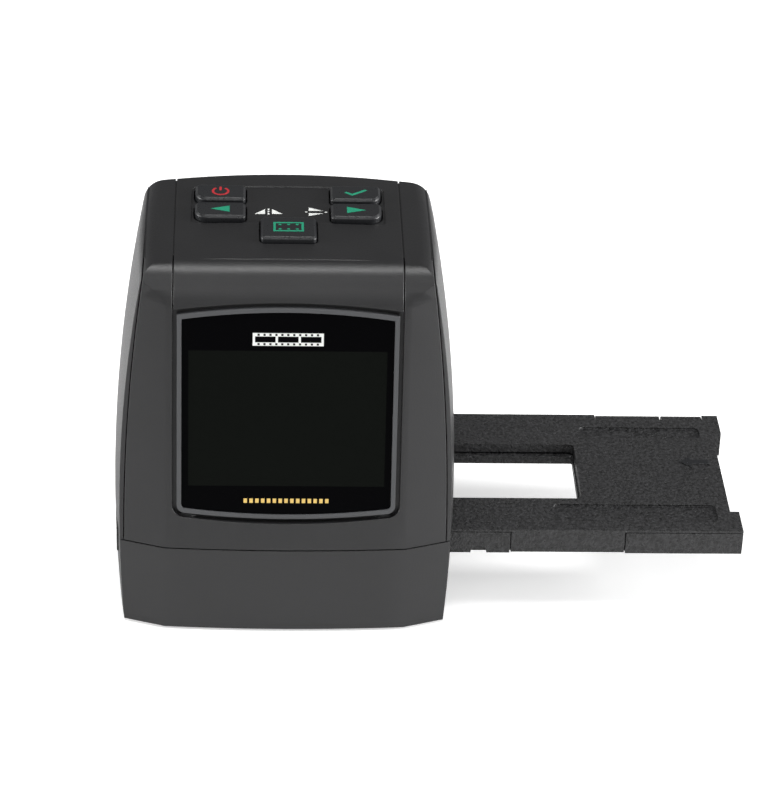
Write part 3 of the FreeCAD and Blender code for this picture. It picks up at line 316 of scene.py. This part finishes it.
@dataclass(frozen=True)
class Moulding:
    """How a moulded piece is copied from its CAD node: merged, shaded smooth and creased at its edges."""

    crease_deg: float = 28.0
    merge_mm: float = 0.004
    weight: int = 80

    def skin(self, node: str, name: str) -> bpy.types.Object:
        """Copy a CAD node as one merged, smooth shell.

        Args:
            node: The CAD node.
            name: The new piece's name.

        Returns:
            The new piece, at the origin.
        """
        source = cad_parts[node].data
        faces = [tuple(p.vertices) for p in source.polygons]
        piece = put_in_scene(name, mesh_from(name, [v.co for v in source.vertices], faces))
        shape = bmesh.new()
        shape.from_mesh(piece.data)
        bmesh.ops.remove_doubles(shape, verts=shape.verts, dist=self.merge_mm * MM)
        bmesh.ops.dissolve_degenerate(shape, edges=shape.edges, dist=self.merge_mm * MM)
        bmesh.ops.recalc_face_normals(shape, faces=shape.faces)
        for face in shape.faces:
            face.smooth = True
        for edge in shape.edges:
            edge.smooth = (len(edge.link_faces) == 2
                           and edge.calc_face_angle(0) < math.radians(self.crease_deg))
        shape.to_mesh(piece.data)
        shape.free()
        weigh = piece.modifiers.new("weigh", "WEIGHTED_NORMAL")
        weigh.keep_sharp = True
        weigh.weight = self.weight
        return baked(piece)


@dataclass(frozen=True)
class Plane:
    """A flat place on the object that prints are laid out on."""

    origin: Vector
    right: Vector
    up: Vector

    @property
    def out(self) -> Vector:
        """Return the direction that the plane faces."""
        return self.right.cross(self.up)

    def at(self, x_mm: float, y_mm: float, lift_mm: float = 0.0) -> Vector:
        """Return a point of the object from its place on the plane.

        Args:
            x_mm: How far it is to the right.
            y_mm: How far it is up.
            lift_mm: How far it stands out of the plane.

        Returns:
            The point.
        """
        return self.origin + (self.right * x_mm + self.up * y_mm + self.out * lift_mm) * MM

    @staticmethod
    def on_top_of(node: str) -> "Plane":
        """Return the level plane on a node's top, about its middle.

        Args:
            node: The CAD node.

        Returns:
            The plane.
        """
        low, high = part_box(node)
        middle = (low + high) / 2
        return Plane(Vector((middle.x, middle.y, high.z)), Vector((1, 0, 0)), Vector((0, 1, 0)))

    @staticmethod
    def along_largest_face(node: str, level: float) -> "Plane":
        """Return the plane of a node's largest front face, from the middle of a level line on it.

        Args:
            node: The CAD node.
            level: The line's height.

        Returns:
            The plane.
        """
        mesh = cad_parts[node].data
        largest = max((p for p in mesh.polygons if p.normal.y < 0), key=lambda p: p.area)
        right = Vector((1, 0, 0))
        up = largest.normal.cross(right).normalized()
        point = largest.center.copy()
        point += up * ((level - point.z) / up.z)
        point.x = 0
        return Plane(point, right, up)


@dataclass(frozen=True)
class Print:
    """Flat marks a few hundredths of a millimetre thick, laid on a plane or dropped onto a surface."""

    proud_mm: float = 0.03
    sunk_mm: float = 0.04

    def lay(self, name: str, shapes: Iterable[Edges], plane: Plane,
            onto: Optional[str] = None) -> bpy.types.Object:
        """Make one piece of closed thin plates.

        Args:
            name: The piece's name.
            shapes: Each plate's outline, in millimetres on the plane, counter-clockwise.
            plane: Where they lie.
            onto: A CAD node whose surface they follow, if it isn't flat.

        Returns:
            The piece.
        """
        surface = surface_of(onto) if onto else None
        points: list[Vector] = []
        faces: list[tuple[int, ...]] = []
        for outline in shapes:
            count = len(outline)
            first = len(points)
            for lift in (self.proud_mm, -self.sunk_mm):
                for x, y in outline:
                    points.append(self.dropped(plane.at(x, y), lift, surface) if surface
                                  else plane.at(x, y, lift))
            faces.append(tuple(range(first, first + count)))
            faces.append(tuple(range(first + 2 * count - 1, first + count - 1, -1)))
            for i in range(count):
                j = (i + 1) % count
                faces.append((first + j, first + i, first + count + i, first + count + j))
        return put_in_scene(name, mesh_from(name, points, faces))

    def dropped(self, point: Vector, lift_mm: float, surface: BVHTree) -> Vector:
        """Return the point of the surface under a place, raised by a lift.

        Args:
            point: The place above or below the surface.
            lift_mm: How far the result stands over the surface.
            surface: The surface.

        Returns:
            The raised point, or the place itself, raised, where there is no surface.
        """
        hit = surface.ray_cast(Vector((point.x, point.y, OUTSIDE)), Vector((0, 0, -1)))[0]
        return (hit or point) + Vector((0, 0, lift_mm * MM))


def swept(name: str, outline: Sequence[Vector], sweep: Vector) -> bpy.types.Object:
    """Make the closed plate that a flat outline sweeps out.

    Args:
        name: The piece's name.
        outline: The outline's points.
        sweep: How far and which way it goes.

    Returns:
        The piece.
    """
    count = len(outline)
    points = list(outline) + [p + sweep for p in outline]
    faces = [tuple(range(count)), tuple(range(2 * count - 1, count - 1, -1))]
    faces += [((i + 1) % count, i, count + i, count + (i + 1) % count) for i in range(count)]
    mesh = mesh_from(name, points, faces)
    shape = bmesh.new()
    shape.from_mesh(mesh)
    bmesh.ops.recalc_face_normals(shape, faces=shape.faces)
    shape.to_mesh(mesh)
    shape.free()
    return put_in_scene(name, mesh)


def surface_of(node: str) -> BVHTree:
    """Return a CAD node's surface for casting rays at.

    Args:
        node: The CAD node.

    Returns:
        The surface.
    """
    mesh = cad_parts[node].data
    return BVHTree.FromPolygons([v.co for v in mesh.vertices], [tuple(p.vertices) for p in mesh.polygons])


def bar(x0: float, y0: float, x1: float, y1: float) -> Edges:
    """Return the outline of an upright rectangle.

    Args:
        x0: Its left side.
        y0: Its lower side.
        x1: Its right side.
        y1: Its upper side.

    Returns:
        The outline.
    """
    return [(x0, y0), (x1, y0), (x1, y1), (x0, y1)]


def stroke(start: tuple[float, float], end: tuple[float, float], width: float) -> Edges:
    """Return the outline of a straight stroke.

    Args:
        start: Where it starts.
        end: Where it ends; half its width is added at both ends.
        width: Its width.

    Returns:
        The outline.
    """
    along = Vector((end[0] - start[0], end[1] - start[1])).normalized() * (width / 2)
    side = Vector((-along.y, along.x))
    a, b = Vector(start) - along, Vector(end) + along
    return [tuple(a - side), tuple(b - side), tuple(b + side), tuple(a + side)]


def ring(radius: float, width: float, gap_deg: float, steps: int) -> list[Edges]:
    """Return a ring of short plates that is open at its top.

    Args:
        radius: The radius of its middle line.
        width: How wide the line is.
        gap_deg: The opening's angle.
        steps: How many plates make it.

    Returns:
        The plates' outlines.
    """
    top_deg, turn_deg = 90, 360
    first, last = top_deg + gap_deg / 2, top_deg + turn_deg - gap_deg / 2
    pieces = []
    for i in range(steps):
        turns = [math.radians(first + (last - first) * k / steps) for k in (i, i + 1)]
        inner, outer = radius - width / 2, radius + width / 2
        corners = [(inner, turns[1]), (inner, turns[0]), (outer, turns[0]), (outer, turns[1])]
        pieces.append([(r * math.cos(t), r * math.sin(t)) for r, t in corners])
    return pieces


@dataclass
class Repeats:
    """A Geometry Nodes group that sets out a row of equal small plates along a line."""

    size_mm: tuple[float, float, float]
    pitch_mm: float
    count: int

    def group(self, finish: Finish) -> bpy.types.NodeTree:
        """Build the node group with named inputs.

        Args:
            finish: The plates' finish.

        Returns:
            The group.
        """
        tree = bpy.data.node_groups.new("row_of_plates", "GeometryNodeTree")
        inputs = {"Count": "NodeSocketInt", "Pitch": "NodeSocketFloat", "Size": "NodeSocketVector"}
        for name, kind in inputs.items():
            tree.interface.new_socket(name, in_out="INPUT", socket_type=kind)
        tree.interface.new_socket("Geometry", in_out="OUTPUT", socket_type="NodeSocketGeometry")
        given = add_node(tree, "NodeGroupInput")
        step = add_node(tree, "ShaderNodeCombineXYZ", links={"X": given.outputs["Pitch"]})
        row = add_node(tree, "GeometryNodeMeshLine", links={"Count": given.outputs["Count"],
                                                            "Offset": step.outputs[0]})
        plate = add_node(tree, "GeometryNodeMeshCube", links={"Size": given.outputs["Size"]})
        spread = add_node(tree, "GeometryNodeInstanceOnPoints", links={"Points": row.outputs[0],
                                                                       "Instance": plate.outputs[0]})
        real = add_node(tree, "GeometryNodeRealizeInstances", links={0: spread.outputs[0]})
        inked = add_node(tree, "GeometryNodeSetMaterial", {"Material": finish.make()},
                         {"Geometry": real.outputs[0]})
        add_node(tree, "NodeGroupOutput", links={0: inked.outputs[0]})
        return tree

    def lay(self, name: str, plane: Plane, x_mm: float, y_mm: float, finish: Finish) -> bpy.types.Object:
        """Run the group, bake it to plain mesh and put the row on a plane.

        Args:
            name: The piece's name.
            plane: Where it lies.
            x_mm: Where the row's middle is, to the right.
            y_mm: Where it is, up.
            finish: The plates' finish.

        Returns:
            The piece.
        """
        piece = put_in_scene(name, bpy.data.meshes.new(name))
        row = piece.modifiers.new("row", "NODES")
        tree = self.group(finish)
        row.node_group = tree
        keys = {item.name: item.identifier for item in tree.interface.items_tree if item.in_out == "INPUT"}
        row[keys["Count"]] = self.count
        row[keys["Pitch"]] = self.pitch_mm * MM
        row[keys["Size"]] = [v * MM for v in self.size_mm]
        piece.update_tag()
        baked(piece)
        start = x_mm - self.pitch_mm * (self.count - 1) / 2
        turn = Matrix((plane.right, plane.up, plane.out)).transposed().to_4x4()
        piece.data.transform(Matrix.Translation(plane.at(start, y_mm)) @ turn)
        return piece


@dataclass
class PhotoCamera:
    """The camera that took the photograph, fitted to the casing's corners and seams."""

    place_mm: tuple[float, float, float] = (-12.56, -748.14, 495.08)
    forward: tuple[float, float, float] = (0.04676, 0.85674, -0.51362)
    roll: float = -0.03621
    focal_px: float = 3265.96
    picture_width_px: float = 782.0
    sensor_mm: float = 36.0

    def build(self) -> None:
        """Make the camera and make it the scene's own."""
        ahead = Vector(self.forward).normalized()
        level = ahead.cross(Vector((0, 0, 1))).normalized()
        above = level.cross(ahead)
        right = level * math.cos(self.roll) - above * math.sin(self.roll)
        up = level * math.sin(self.roll) + above * math.cos(self.roll)
        data = bpy.data.cameras.new("photo_camera")
        data.sensor_fit = "HORIZONTAL"
        data.sensor_width = self.sensor_mm
        data.lens = self.focal_px * self.sensor_mm / self.picture_width_px
        data.clip_start = 0.01
        camera = bpy.data.objects.new("photo_camera", data)
        bpy.context.scene.collection.objects.link(camera)
        turn = Matrix((right, up, -ahead)).transposed()
        camera.matrix_world = Matrix.Translation(Vector(self.place_mm) * MM) @ turn.to_4x4()
        bpy.context.scene.camera = camera


@dataclass
class Lamp:
    """One soft box: where it stands, what it looks at, its size and its power."""

    name: str
    place: tuple[float, float, float]
    target: tuple[float, float, float]
    size: tuple[float, float]
    power: float

    def build(self) -> None:
        """Make the lamp."""
        data = bpy.data.lights.new(self.name, "AREA")
        data.shape = "RECTANGLE"
        data.size, data.size_y = self.size
        data.energy = self.power
        lamp = bpy.data.objects.new(self.name, data)
        bpy.context.scene.collection.objects.link(lamp)
        lamp.location = self.place
        lamp.rotation_euler = (Vector(self.target) - Vector(self.place)).to_track_quat("-Z", "Y").to_euler()


@dataclass
class Studio:
    """Pale floor, white surround and soft boxes."""

    floor_half: float = 3.0
    floor_colour: str = "#e6e6e6"
    sky_colour: str = "#ffffff"
    sky_low: float = 0.4
    sky_high: float = 0.13
    sky_level: float = 0.5
    floor_lift: float = 0.45
    shadow_reach: float = 0.35
    white_from: float = 0.8
    lamps: list[Lamp] = field(default_factory=lambda: [
        Lamp("over_box", (0.0, -0.15, 1.2), (0.0, 0.0, 0.05), (0.9, 0.35), 9.0),
        Lamp("left_box", (-1.1, 0.15, 0.35), (0.0, 0.0, 0.05), (0.6, 0.9), 6.0),
        Lamp("right_box", (1.1, 0.15, 0.35), (0.03, 0.0, 0.05), (0.6, 0.9), 6.0),
        Lamp("front_box", (-0.2, -1.1, 0.9), (0.0, 0.0, 0.05), (1.0, 0.6), 3.0),
        Lamp("left_facet_box", (-1.05, -0.2, 0.25), (0.0, 0.0, 0.05), (0.4, 0.5), 8.5),
        Lamp("right_facet_box", (1.05, -0.2, 0.25), (0.0, 0.0, 0.05), (0.4, 0.5), 17.0),
    ])

    def build(self) -> None:
        """Make the floor, the world and the lamps."""
        half = self.floor_half
        corners = [Vector((x, y, 0)) for x, y in ((-half, -half), (half, -half), (half, half), (-half, half))]
        floor = put_in_scene("studio_floor", mesh_from("studio_floor", corners, [(0, 1, 2, 3)]))
        floor.data.materials.append(self.floor_finish())
        world = bpy.data.worlds.new("studio_surround")
        bpy.context.scene.world = world
        world.use_nodes = True
        tree = world.node_tree
        tree.nodes.clear()
        seen = self.shown_rays(tree)
        way = add_node(tree, "ShaderNodeTexCoord").outputs["Generated"]
        height = add_node(tree, "ShaderNodeSeparateXYZ", links={0: way}).outputs["Z"]
        light = add_node(tree, "ShaderNodeMapRange", {"From Min": 0.0, "From Max": self.sky_level,
                                                      "To Min": self.sky_low, "To Max": self.sky_high},
                         {"Value": height})
        strength = add_node(tree, "ShaderNodeMapRange", {"To Max": 1.0},
                            {"Value": seen, "To Min": light.outputs["Result"]})
        sky = add_node(tree, "ShaderNodeBackground", {"Color": linear(self.sky_colour)},
                       {"Strength": strength.outputs["Result"]})
        add_node(tree, "ShaderNodeOutputWorld", links={"Surface": sky.outputs["Background"]})
        for lamp in self.lamps:
            lamp.build()
        bpy.context.scene.view_settings.view_transform = "Standard"

    def shown_rays(self, tree: bpy.types.NodeTree) -> bpy.types.NodeSocket:
        """Return a value of one for rays that show a thing itself, straight or through glass.

        Args:
            tree: The tree that gets the nodes.

        Returns:
            The socket that gives the value.
        """
        path = add_node(tree, "ShaderNodeLightPath")
        return add_node(tree, "ShaderNodeMath", {"operation": "MAXIMUM"},
                        {0: path.outputs["Is Camera Ray"], 1: path.outputs["Is Transmission Ray"]}).outputs[0]

    def floor_finish(self) -> bpy.types.Material:
        """Return the floor's material, white to the camera but for the object's shadow.

        Returns:
            The material: lit paper, lifted a little near the object and all the way far from it.
        """
        material = bpy.data.materials.new("pale_paper_sweep")
        material.use_nodes = True
        tree = material.node_tree
        tree.nodes.clear()
        paper = add_node(tree, "ShaderNodeBsdfDiffuse", {"Color": linear(self.floor_colour)})
        seen = self.shown_rays(tree)
        place = add_node(tree, "ShaderNodeTexCoord").outputs["Object"]
        reach = add_node(tree, "ShaderNodeVectorMath", {"operation": "LENGTH"}, {0: place}).outputs["Value"]
        fade = add_node(tree, "ShaderNodeMapRange", {"From Min": self.shadow_reach,
                                                     "From Max": self.white_from,
                                                     "To Min": self.floor_lift, "To Max": 1.0},
                        {"Value": reach})
        lift = add_node(tree, "ShaderNodeMapRange", {"To Min": 0.0},
                        {"Value": seen, "To Max": fade.outputs["Result"]})
        glow = add_node(tree, "ShaderNodeEmission", links={"Strength": lift.outputs["Result"]})
        both = add_node(tree, "ShaderNodeAddShader", links={0: paper.outputs[0], 1: glow.outputs[0]})
        add_node(tree, "ShaderNodeOutputMaterial", links={"Surface": both.outputs[0]})
        return material


@dataclass
class Casing:
    """The moulded outer shells and the marks on their top."""

    shells: tuple[str, ...] = ("base_shell", "front_hood", "left_side_panel", "right_side_panel",
                               "rear_cover", "top_panel")
    moulding: Moulding = Moulding()
    mirror_x_mm: float = -5.1
    flip_x_mm: float = 7.2
    icons_y_mm: float = 0.9
    icon_line_mm: float = 0.45
    rib_half_mm: float = 0.8
    rib_reach_mm: float = 3.4
    rib_bite_mm: float = 1.0
    rib_heights_mm: Sequence[float] = range(27, 98, 5)
    strip_x_mm: float = 29.17
    seam_x_mm: float = 36.35
    lip_half_mm: float = 0.3
    lip_top_mm: float = 0.3
    lip_low_mm: float = 1.9
    lip_places_mm: Sequence[float] = (*range(-20, 17, 4), 17.6)
    lip_drops_mm: Sequence[float] = (0.5, 2.5, 4.5)

    def build(self) -> None:
        """Skin each shell, print the icons between the keys and close the seams from inside."""
        for node in self.shells:
            dress(self.moulding.skin(node, node + "_skin"), CASING, HOUSING, [node])
        ground = Plane(Vector((0, 0, 0)), Vector((1, 0, 0)), Vector((0, 1, 0)))
        icons = Print().lay("top_icons", self.icons(), ground, "top_panel")
        dress(icons, WHITE_INK, HOUSING)
        for side, sign in (("left", -1), ("right", 1)):
            dress(self.seam_rib(side, sign), CASING, HOUSING)
            for name, x_mm, toward_hood in (("strip", self.strip_x_mm, 1), ("seam", self.seam_x_mm, -1)):
                lip = self.lip(f"{side}_{name}_lip", sign * x_mm * MM, sign * toward_hood)
                dress(lip, CASING, HOUSING)

    def seam_rib(self, side: str, sign: int) -> bpy.types.Object:
        """Return the rib inside a side panel that keeps light from passing along its seams.

        Args:
            side: Which side, by name.
            sign: Which side, by the sign of X.

        Returns:
            The rib.
        """
        wall = surface_of(side + "_side_panel")
        inner, outer = [], []
        for z in self.rib_heights_mm:
            start = Vector((0, -self.rib_half_mm * MM, z * MM))
            hit = wall.ray_cast(start, Vector((sign, 0, 0)))[0]
            outer.append(hit + Vector((sign * self.rib_bite_mm * MM, 0, 0)))
            inner.append(hit - Vector((sign * self.rib_reach_mm * MM, 0, 0)))
        return swept(side + "_seam_rib", outer + inner[::-1], Vector((0, 2 * self.rib_half_mm * MM, 0)))

    def lip(self, name: str, x: float, toward_hood: int) -> bpy.types.Object:
        """Return the lip at the bottom of a groove that runs over the top and down the back.

        Args:
            name: The piece's name.
            x: Where the groove runs.
            toward_hood: The side of the groove that the hood lies on.

        Returns:
            The lip.
        """
        hood = surface_of("front_hood")
        probe = x + toward_hood * 2 * self.lip_half_mm * MM
        top = [hood.ray_cast(Vector((probe, y * MM, OUTSIDE)), Vector((0, 0, -1)))[0]
               for y in self.lip_places_mm]
        crest = top[-1].z
        back = [hood.ray_cast(Vector((probe, OUTSIDE, crest - drop * MM)), Vector((0, -1, 0)))[0]
                for drop in self.lip_drops_mm]
        paths = []
        for depth in (self.lip_top_mm, self.lip_low_mm):
            path = [p - Vector((0, 0, depth * MM)) for p in top if p.y < back[0].y - depth * MM]
            path += [Vector((p.x, p.y - depth * MM, min(p.z, crest - depth * MM))) for p in back]
            paths.append([Vector((x - self.lip_half_mm * MM, p.y, p.z)) for p in path])
        outline = paths[0] + paths[1][::-1]
        return swept(name, outline, Vector((2 * self.lip_half_mm * MM, 0, 0)))

    def icons(self) -> list[Edges]:
        """Return the icons between the keys.

        Returns:
            The mirror icon, two wedges about a dashed upright, and the flip icon, two about a level line.
        """
        x, y, half = self.mirror_x_mm, self.icons_y_mm, self.icon_line_mm / 2
        near, far, tall, dash = 0.9, 3.6, 1.2, 0.35
        shapes = [bar(x - half, y + k - dash, x + half, y + k + dash) for k in (-1.1, 0, 1.1)]
        shapes.append([(x - far, y - tall), (x - near, y - tall), (x - near, y + tall)])
        shapes.append([(x + near, y - tall), (x + far, y - tall), (x + near, y + tall)])
        x = self.flip_x_mm
        near, above, below, wide, dash = 0.6, 2.2, 2.0, 1.9, 0.3
        shapes += [bar(x + k - dash, y - half, x + k + dash, y + half) for k in (-2.55, 2.55)]
        shapes.append([(x - wide, y + near), (x + wide, y + near), (x - wide, y + above)])
        shapes.append([(x - wide, y - below), (x + wide, y - near), (x - wide, y - near)])
        return shapes


@dataclass
class Screen:
    """The rim, the window with its prints, and the display's area showing through it."""

    moulding: Moulding = Moulding()
    base_seam: float = 0.0256
    display_half_mm: float = 25.2
    display_low_mm: float = 17.3
    display_high_mm: float = 54.2
    display_print: Print = Print(0.015, 0.04)
    mark_y_mm: float = 57.3
    mark_half_mm: float = 9.0
    mark_inner_mm: float = 0.8
    mark_outer_mm: float = 1.7
    mark_holes_mm: float = 1.25
    mark_bars_mm: Sequence[float] = (-8.7, -2.9, 2.9, 8.7)
    mark_bar_half_mm: float = 0.3
    gold_y_mm: float = 13.2
    gold_row: Repeats = field(default_factory=lambda: Repeats((0.9, 1.2, 0.08), 1.5, 15))
    holes: Repeats = field(default_factory=lambda: Repeats((0.55, 0.55, 0.1), 1.5, 11))

    def build(self) -> None:
        """Skin the rim and the window and lay the prints."""
        dress(self.moulding.skin("screen_bezel", "screen_rim"), RIM, HOUSING, ["screen_bezel"])
        window = self.moulding.skin("screen_window", "screen_glass")
        dress(window, WINDOW, HOUSING, ["screen_window"])
        glass = Plane.along_largest_face("screen_window", self.base_seam)
        half = self.display_half_mm
        area = [bar(-half, self.display_low_mm, half, self.display_high_mm)]
        dress(self.display_print.lay("display_area", area, glass), DISPLAY, HOUSING)
        dress(Print().lay("strip_mark", self.strip(), glass), WHITE_INK, HOUSING)
        for name, sign in (("strip_holes_low", -1), ("strip_holes_high", 1)):
            row = self.holes.lay(name, glass, 0.0, self.mark_y_mm + sign * self.mark_holes_mm, WINDOW)
            dress(row, WINDOW, HOUSING)
        gold = self.gold_row.lay("gold_row", glass, 0.0, self.gold_y_mm, GOLD_INK)
        dress(gold, GOLD_INK, HOUSING)

    def strip(self) -> list[Edges]:
        """Return a short piece of film.

        Returns:
            Its two edges and the bars between its frames.
        """
        y, half, inner, outer = self.mark_y_mm, self.mark_half_mm, self.mark_inner_mm, self.mark_outer_mm
        thin = self.mark_bar_half_mm
        edges = [bar(-half, y - outer, half, y - inner), bar(-half, y + inner, half, y + outer)]
        return edges + [bar(x - thin, y - inner, x + thin, y + inner) for x in self.mark_bars_mm]


@dataclass
class Keys:
    """The five keys on the top and the marks on them."""

    bodies: dict[str, str] = field(default_factory=lambda: {
        "power_button": "power_key", "left_button": "left_key", "ok_button": "ok_key",
        "right_button": "right_key", "scan_button": "scan_key"})
    moulding: Moulding = Moulding()

    def build(self) -> None:
        """Skin each key and lay its mark."""
        line = 0.6
        power = ring(2.0, line, gap_deg=70, steps=14) + [stroke((0, 0.7), (0, 2.1), line)]
        tick = [(-2.85, -0.2), (-0.9, -1.8), (3.05, 1.1), (2.55, 1.7), (-0.9, -0.8), (-2.35, 0.4)]
        marks = {
            "power_button": (power, RED_INK),
            "left_button": ([[(-2.5, 0), (2.4, -1.7), (2.4, 1.7)]], GREEN_INK),
            "right_button": ([[(2.5, 0), (-2.4, 1.7), (-2.4, -1.7)]], GREEN_INK),
            "ok_button": ([tick], GREEN_INK),
            "scan_button": (self.frame_mark(), GREEN_INK),
        }
        for node, body in self.bodies.items():
            dress(self.moulding.skin(node, node + "_cap"), KEYCAP, body, [node])
            shapes, ink = marks[node]
            mark = Print().lay(node + "_mark", shapes, Plane.on_top_of(node))
            dress(mark, ink, body)

    def frame_mark(self) -> list[Edges]:
        """Return one film frame with its perforations.

        Returns:
            The four sides and six small marks for the holes.
        """
        wide, tall, inner_wide, inner_tall = 3.9, 2.5, 3.3, 1.9
        sides = [bar(-wide, -tall, wide, -inner_tall), bar(-wide, inner_tall, wide, tall)]
        sides += [bar(-wide, -inner_tall, -inner_wide, inner_tall)]
        sides += [bar(inner_wide, -inner_tall, wide, inner_tall)]
        across, up = 0.35, 0.3
        return sides + [bar(x - across, y - up, x + across, y + up)
                        for x in (-2.2, 0, 2.2) for y in (-1.2, 1.2)]


@dataclass
class FilmHolder:
    """The sliding holder: its base, its lid and the arrow that shows which end goes in."""

    moulding: Moulding = Moulding()
    arrow_at_mm: tuple[float, float] = (111.6, 1.3)
    arrow_print: Print = Print(0.2, 0.1)
    arrow_reach_mm: float = 4.2
    arrow_neck_mm: float = 0.9
    arrow_tail_mm: float = 4.0
    arrow_head_half_mm: float = 2.7
    arrow_shaft_half_mm: float = 1.1

    def build(self) -> None:
        """Skin both halves and raise the arrow on the lid."""
        for node in ("tray_base", "tray_lid"):
            dress(self.moulding.skin(node, node + "_skin"), HOLDER_SKIN, HOLDER, [node])
        x, y = self.arrow_at_mm
        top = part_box("tray_lid")[1].z
        lid = Plane(Vector((x * MM, y * MM, top)), Vector((1, 0, 0)), Vector((0, 1, 0)))
        neck, head, shaft = -self.arrow_neck_mm, self.arrow_head_half_mm, self.arrow_shaft_half_mm
        shapes = [[(-self.arrow_reach_mm, 0), (neck, -head), (neck, head)],
                  bar(neck, -shaft, self.arrow_tail_mm, shaft)]
        dress(self.arrow_print.lay("lid_arrow", shapes, lid), KEYCAP, HOLDER)


@dataclass
class InnerParts:
    """What the casing hides or half hides: the CAD nodes keep their shapes and get finishes."""

    finishes: dict[str, Finish] = field(default_factory=lambda: {
        "lcd_module": DISPLAY, "lcd_ribbon": RIBBON, "main_board": BOARD, "usb_socket": SOCKET_SHELL,
        "av_jack": SOCKET_BODY, "card_socket": SOCKET_SHELL, "tray_guide": INNER, "diffuser_plate": OPAL,
        "detent_spring": SPRING, "backlight_board": BOARD, "backlight_leds": LED, "optics_tower": INNER,
        "lens_barrel": LENS_TUBE, "lens_glass": LENS, "sensor_board": BOARD, "key_board": BOARD,
        "key_switches": INNER, "tray_hinge_pins": SPRING, "rubber_feet": FOOT, "case_screws": SCREW})

    def build(self) -> None:
        """Give each node its finish."""
        for node, finish in self.finishes.items():
            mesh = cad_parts[node].data
            mesh.materials.clear()
            mesh.materials.append(finish.make())
            LOG.info("%s: %s", node, finish.name)


def main() -> None:
    """Build the camera, the studio and each sub-assembly in order."""
    logging.basicConfig(level=logging.INFO, format="%(name)s %(message)s")
    for part in (PhotoCamera(), Studio(), InnerParts(), Casing(), Screen(), Keys(), FilmHolder()):
        part.build()


if __name__ == "__main__":
    main()
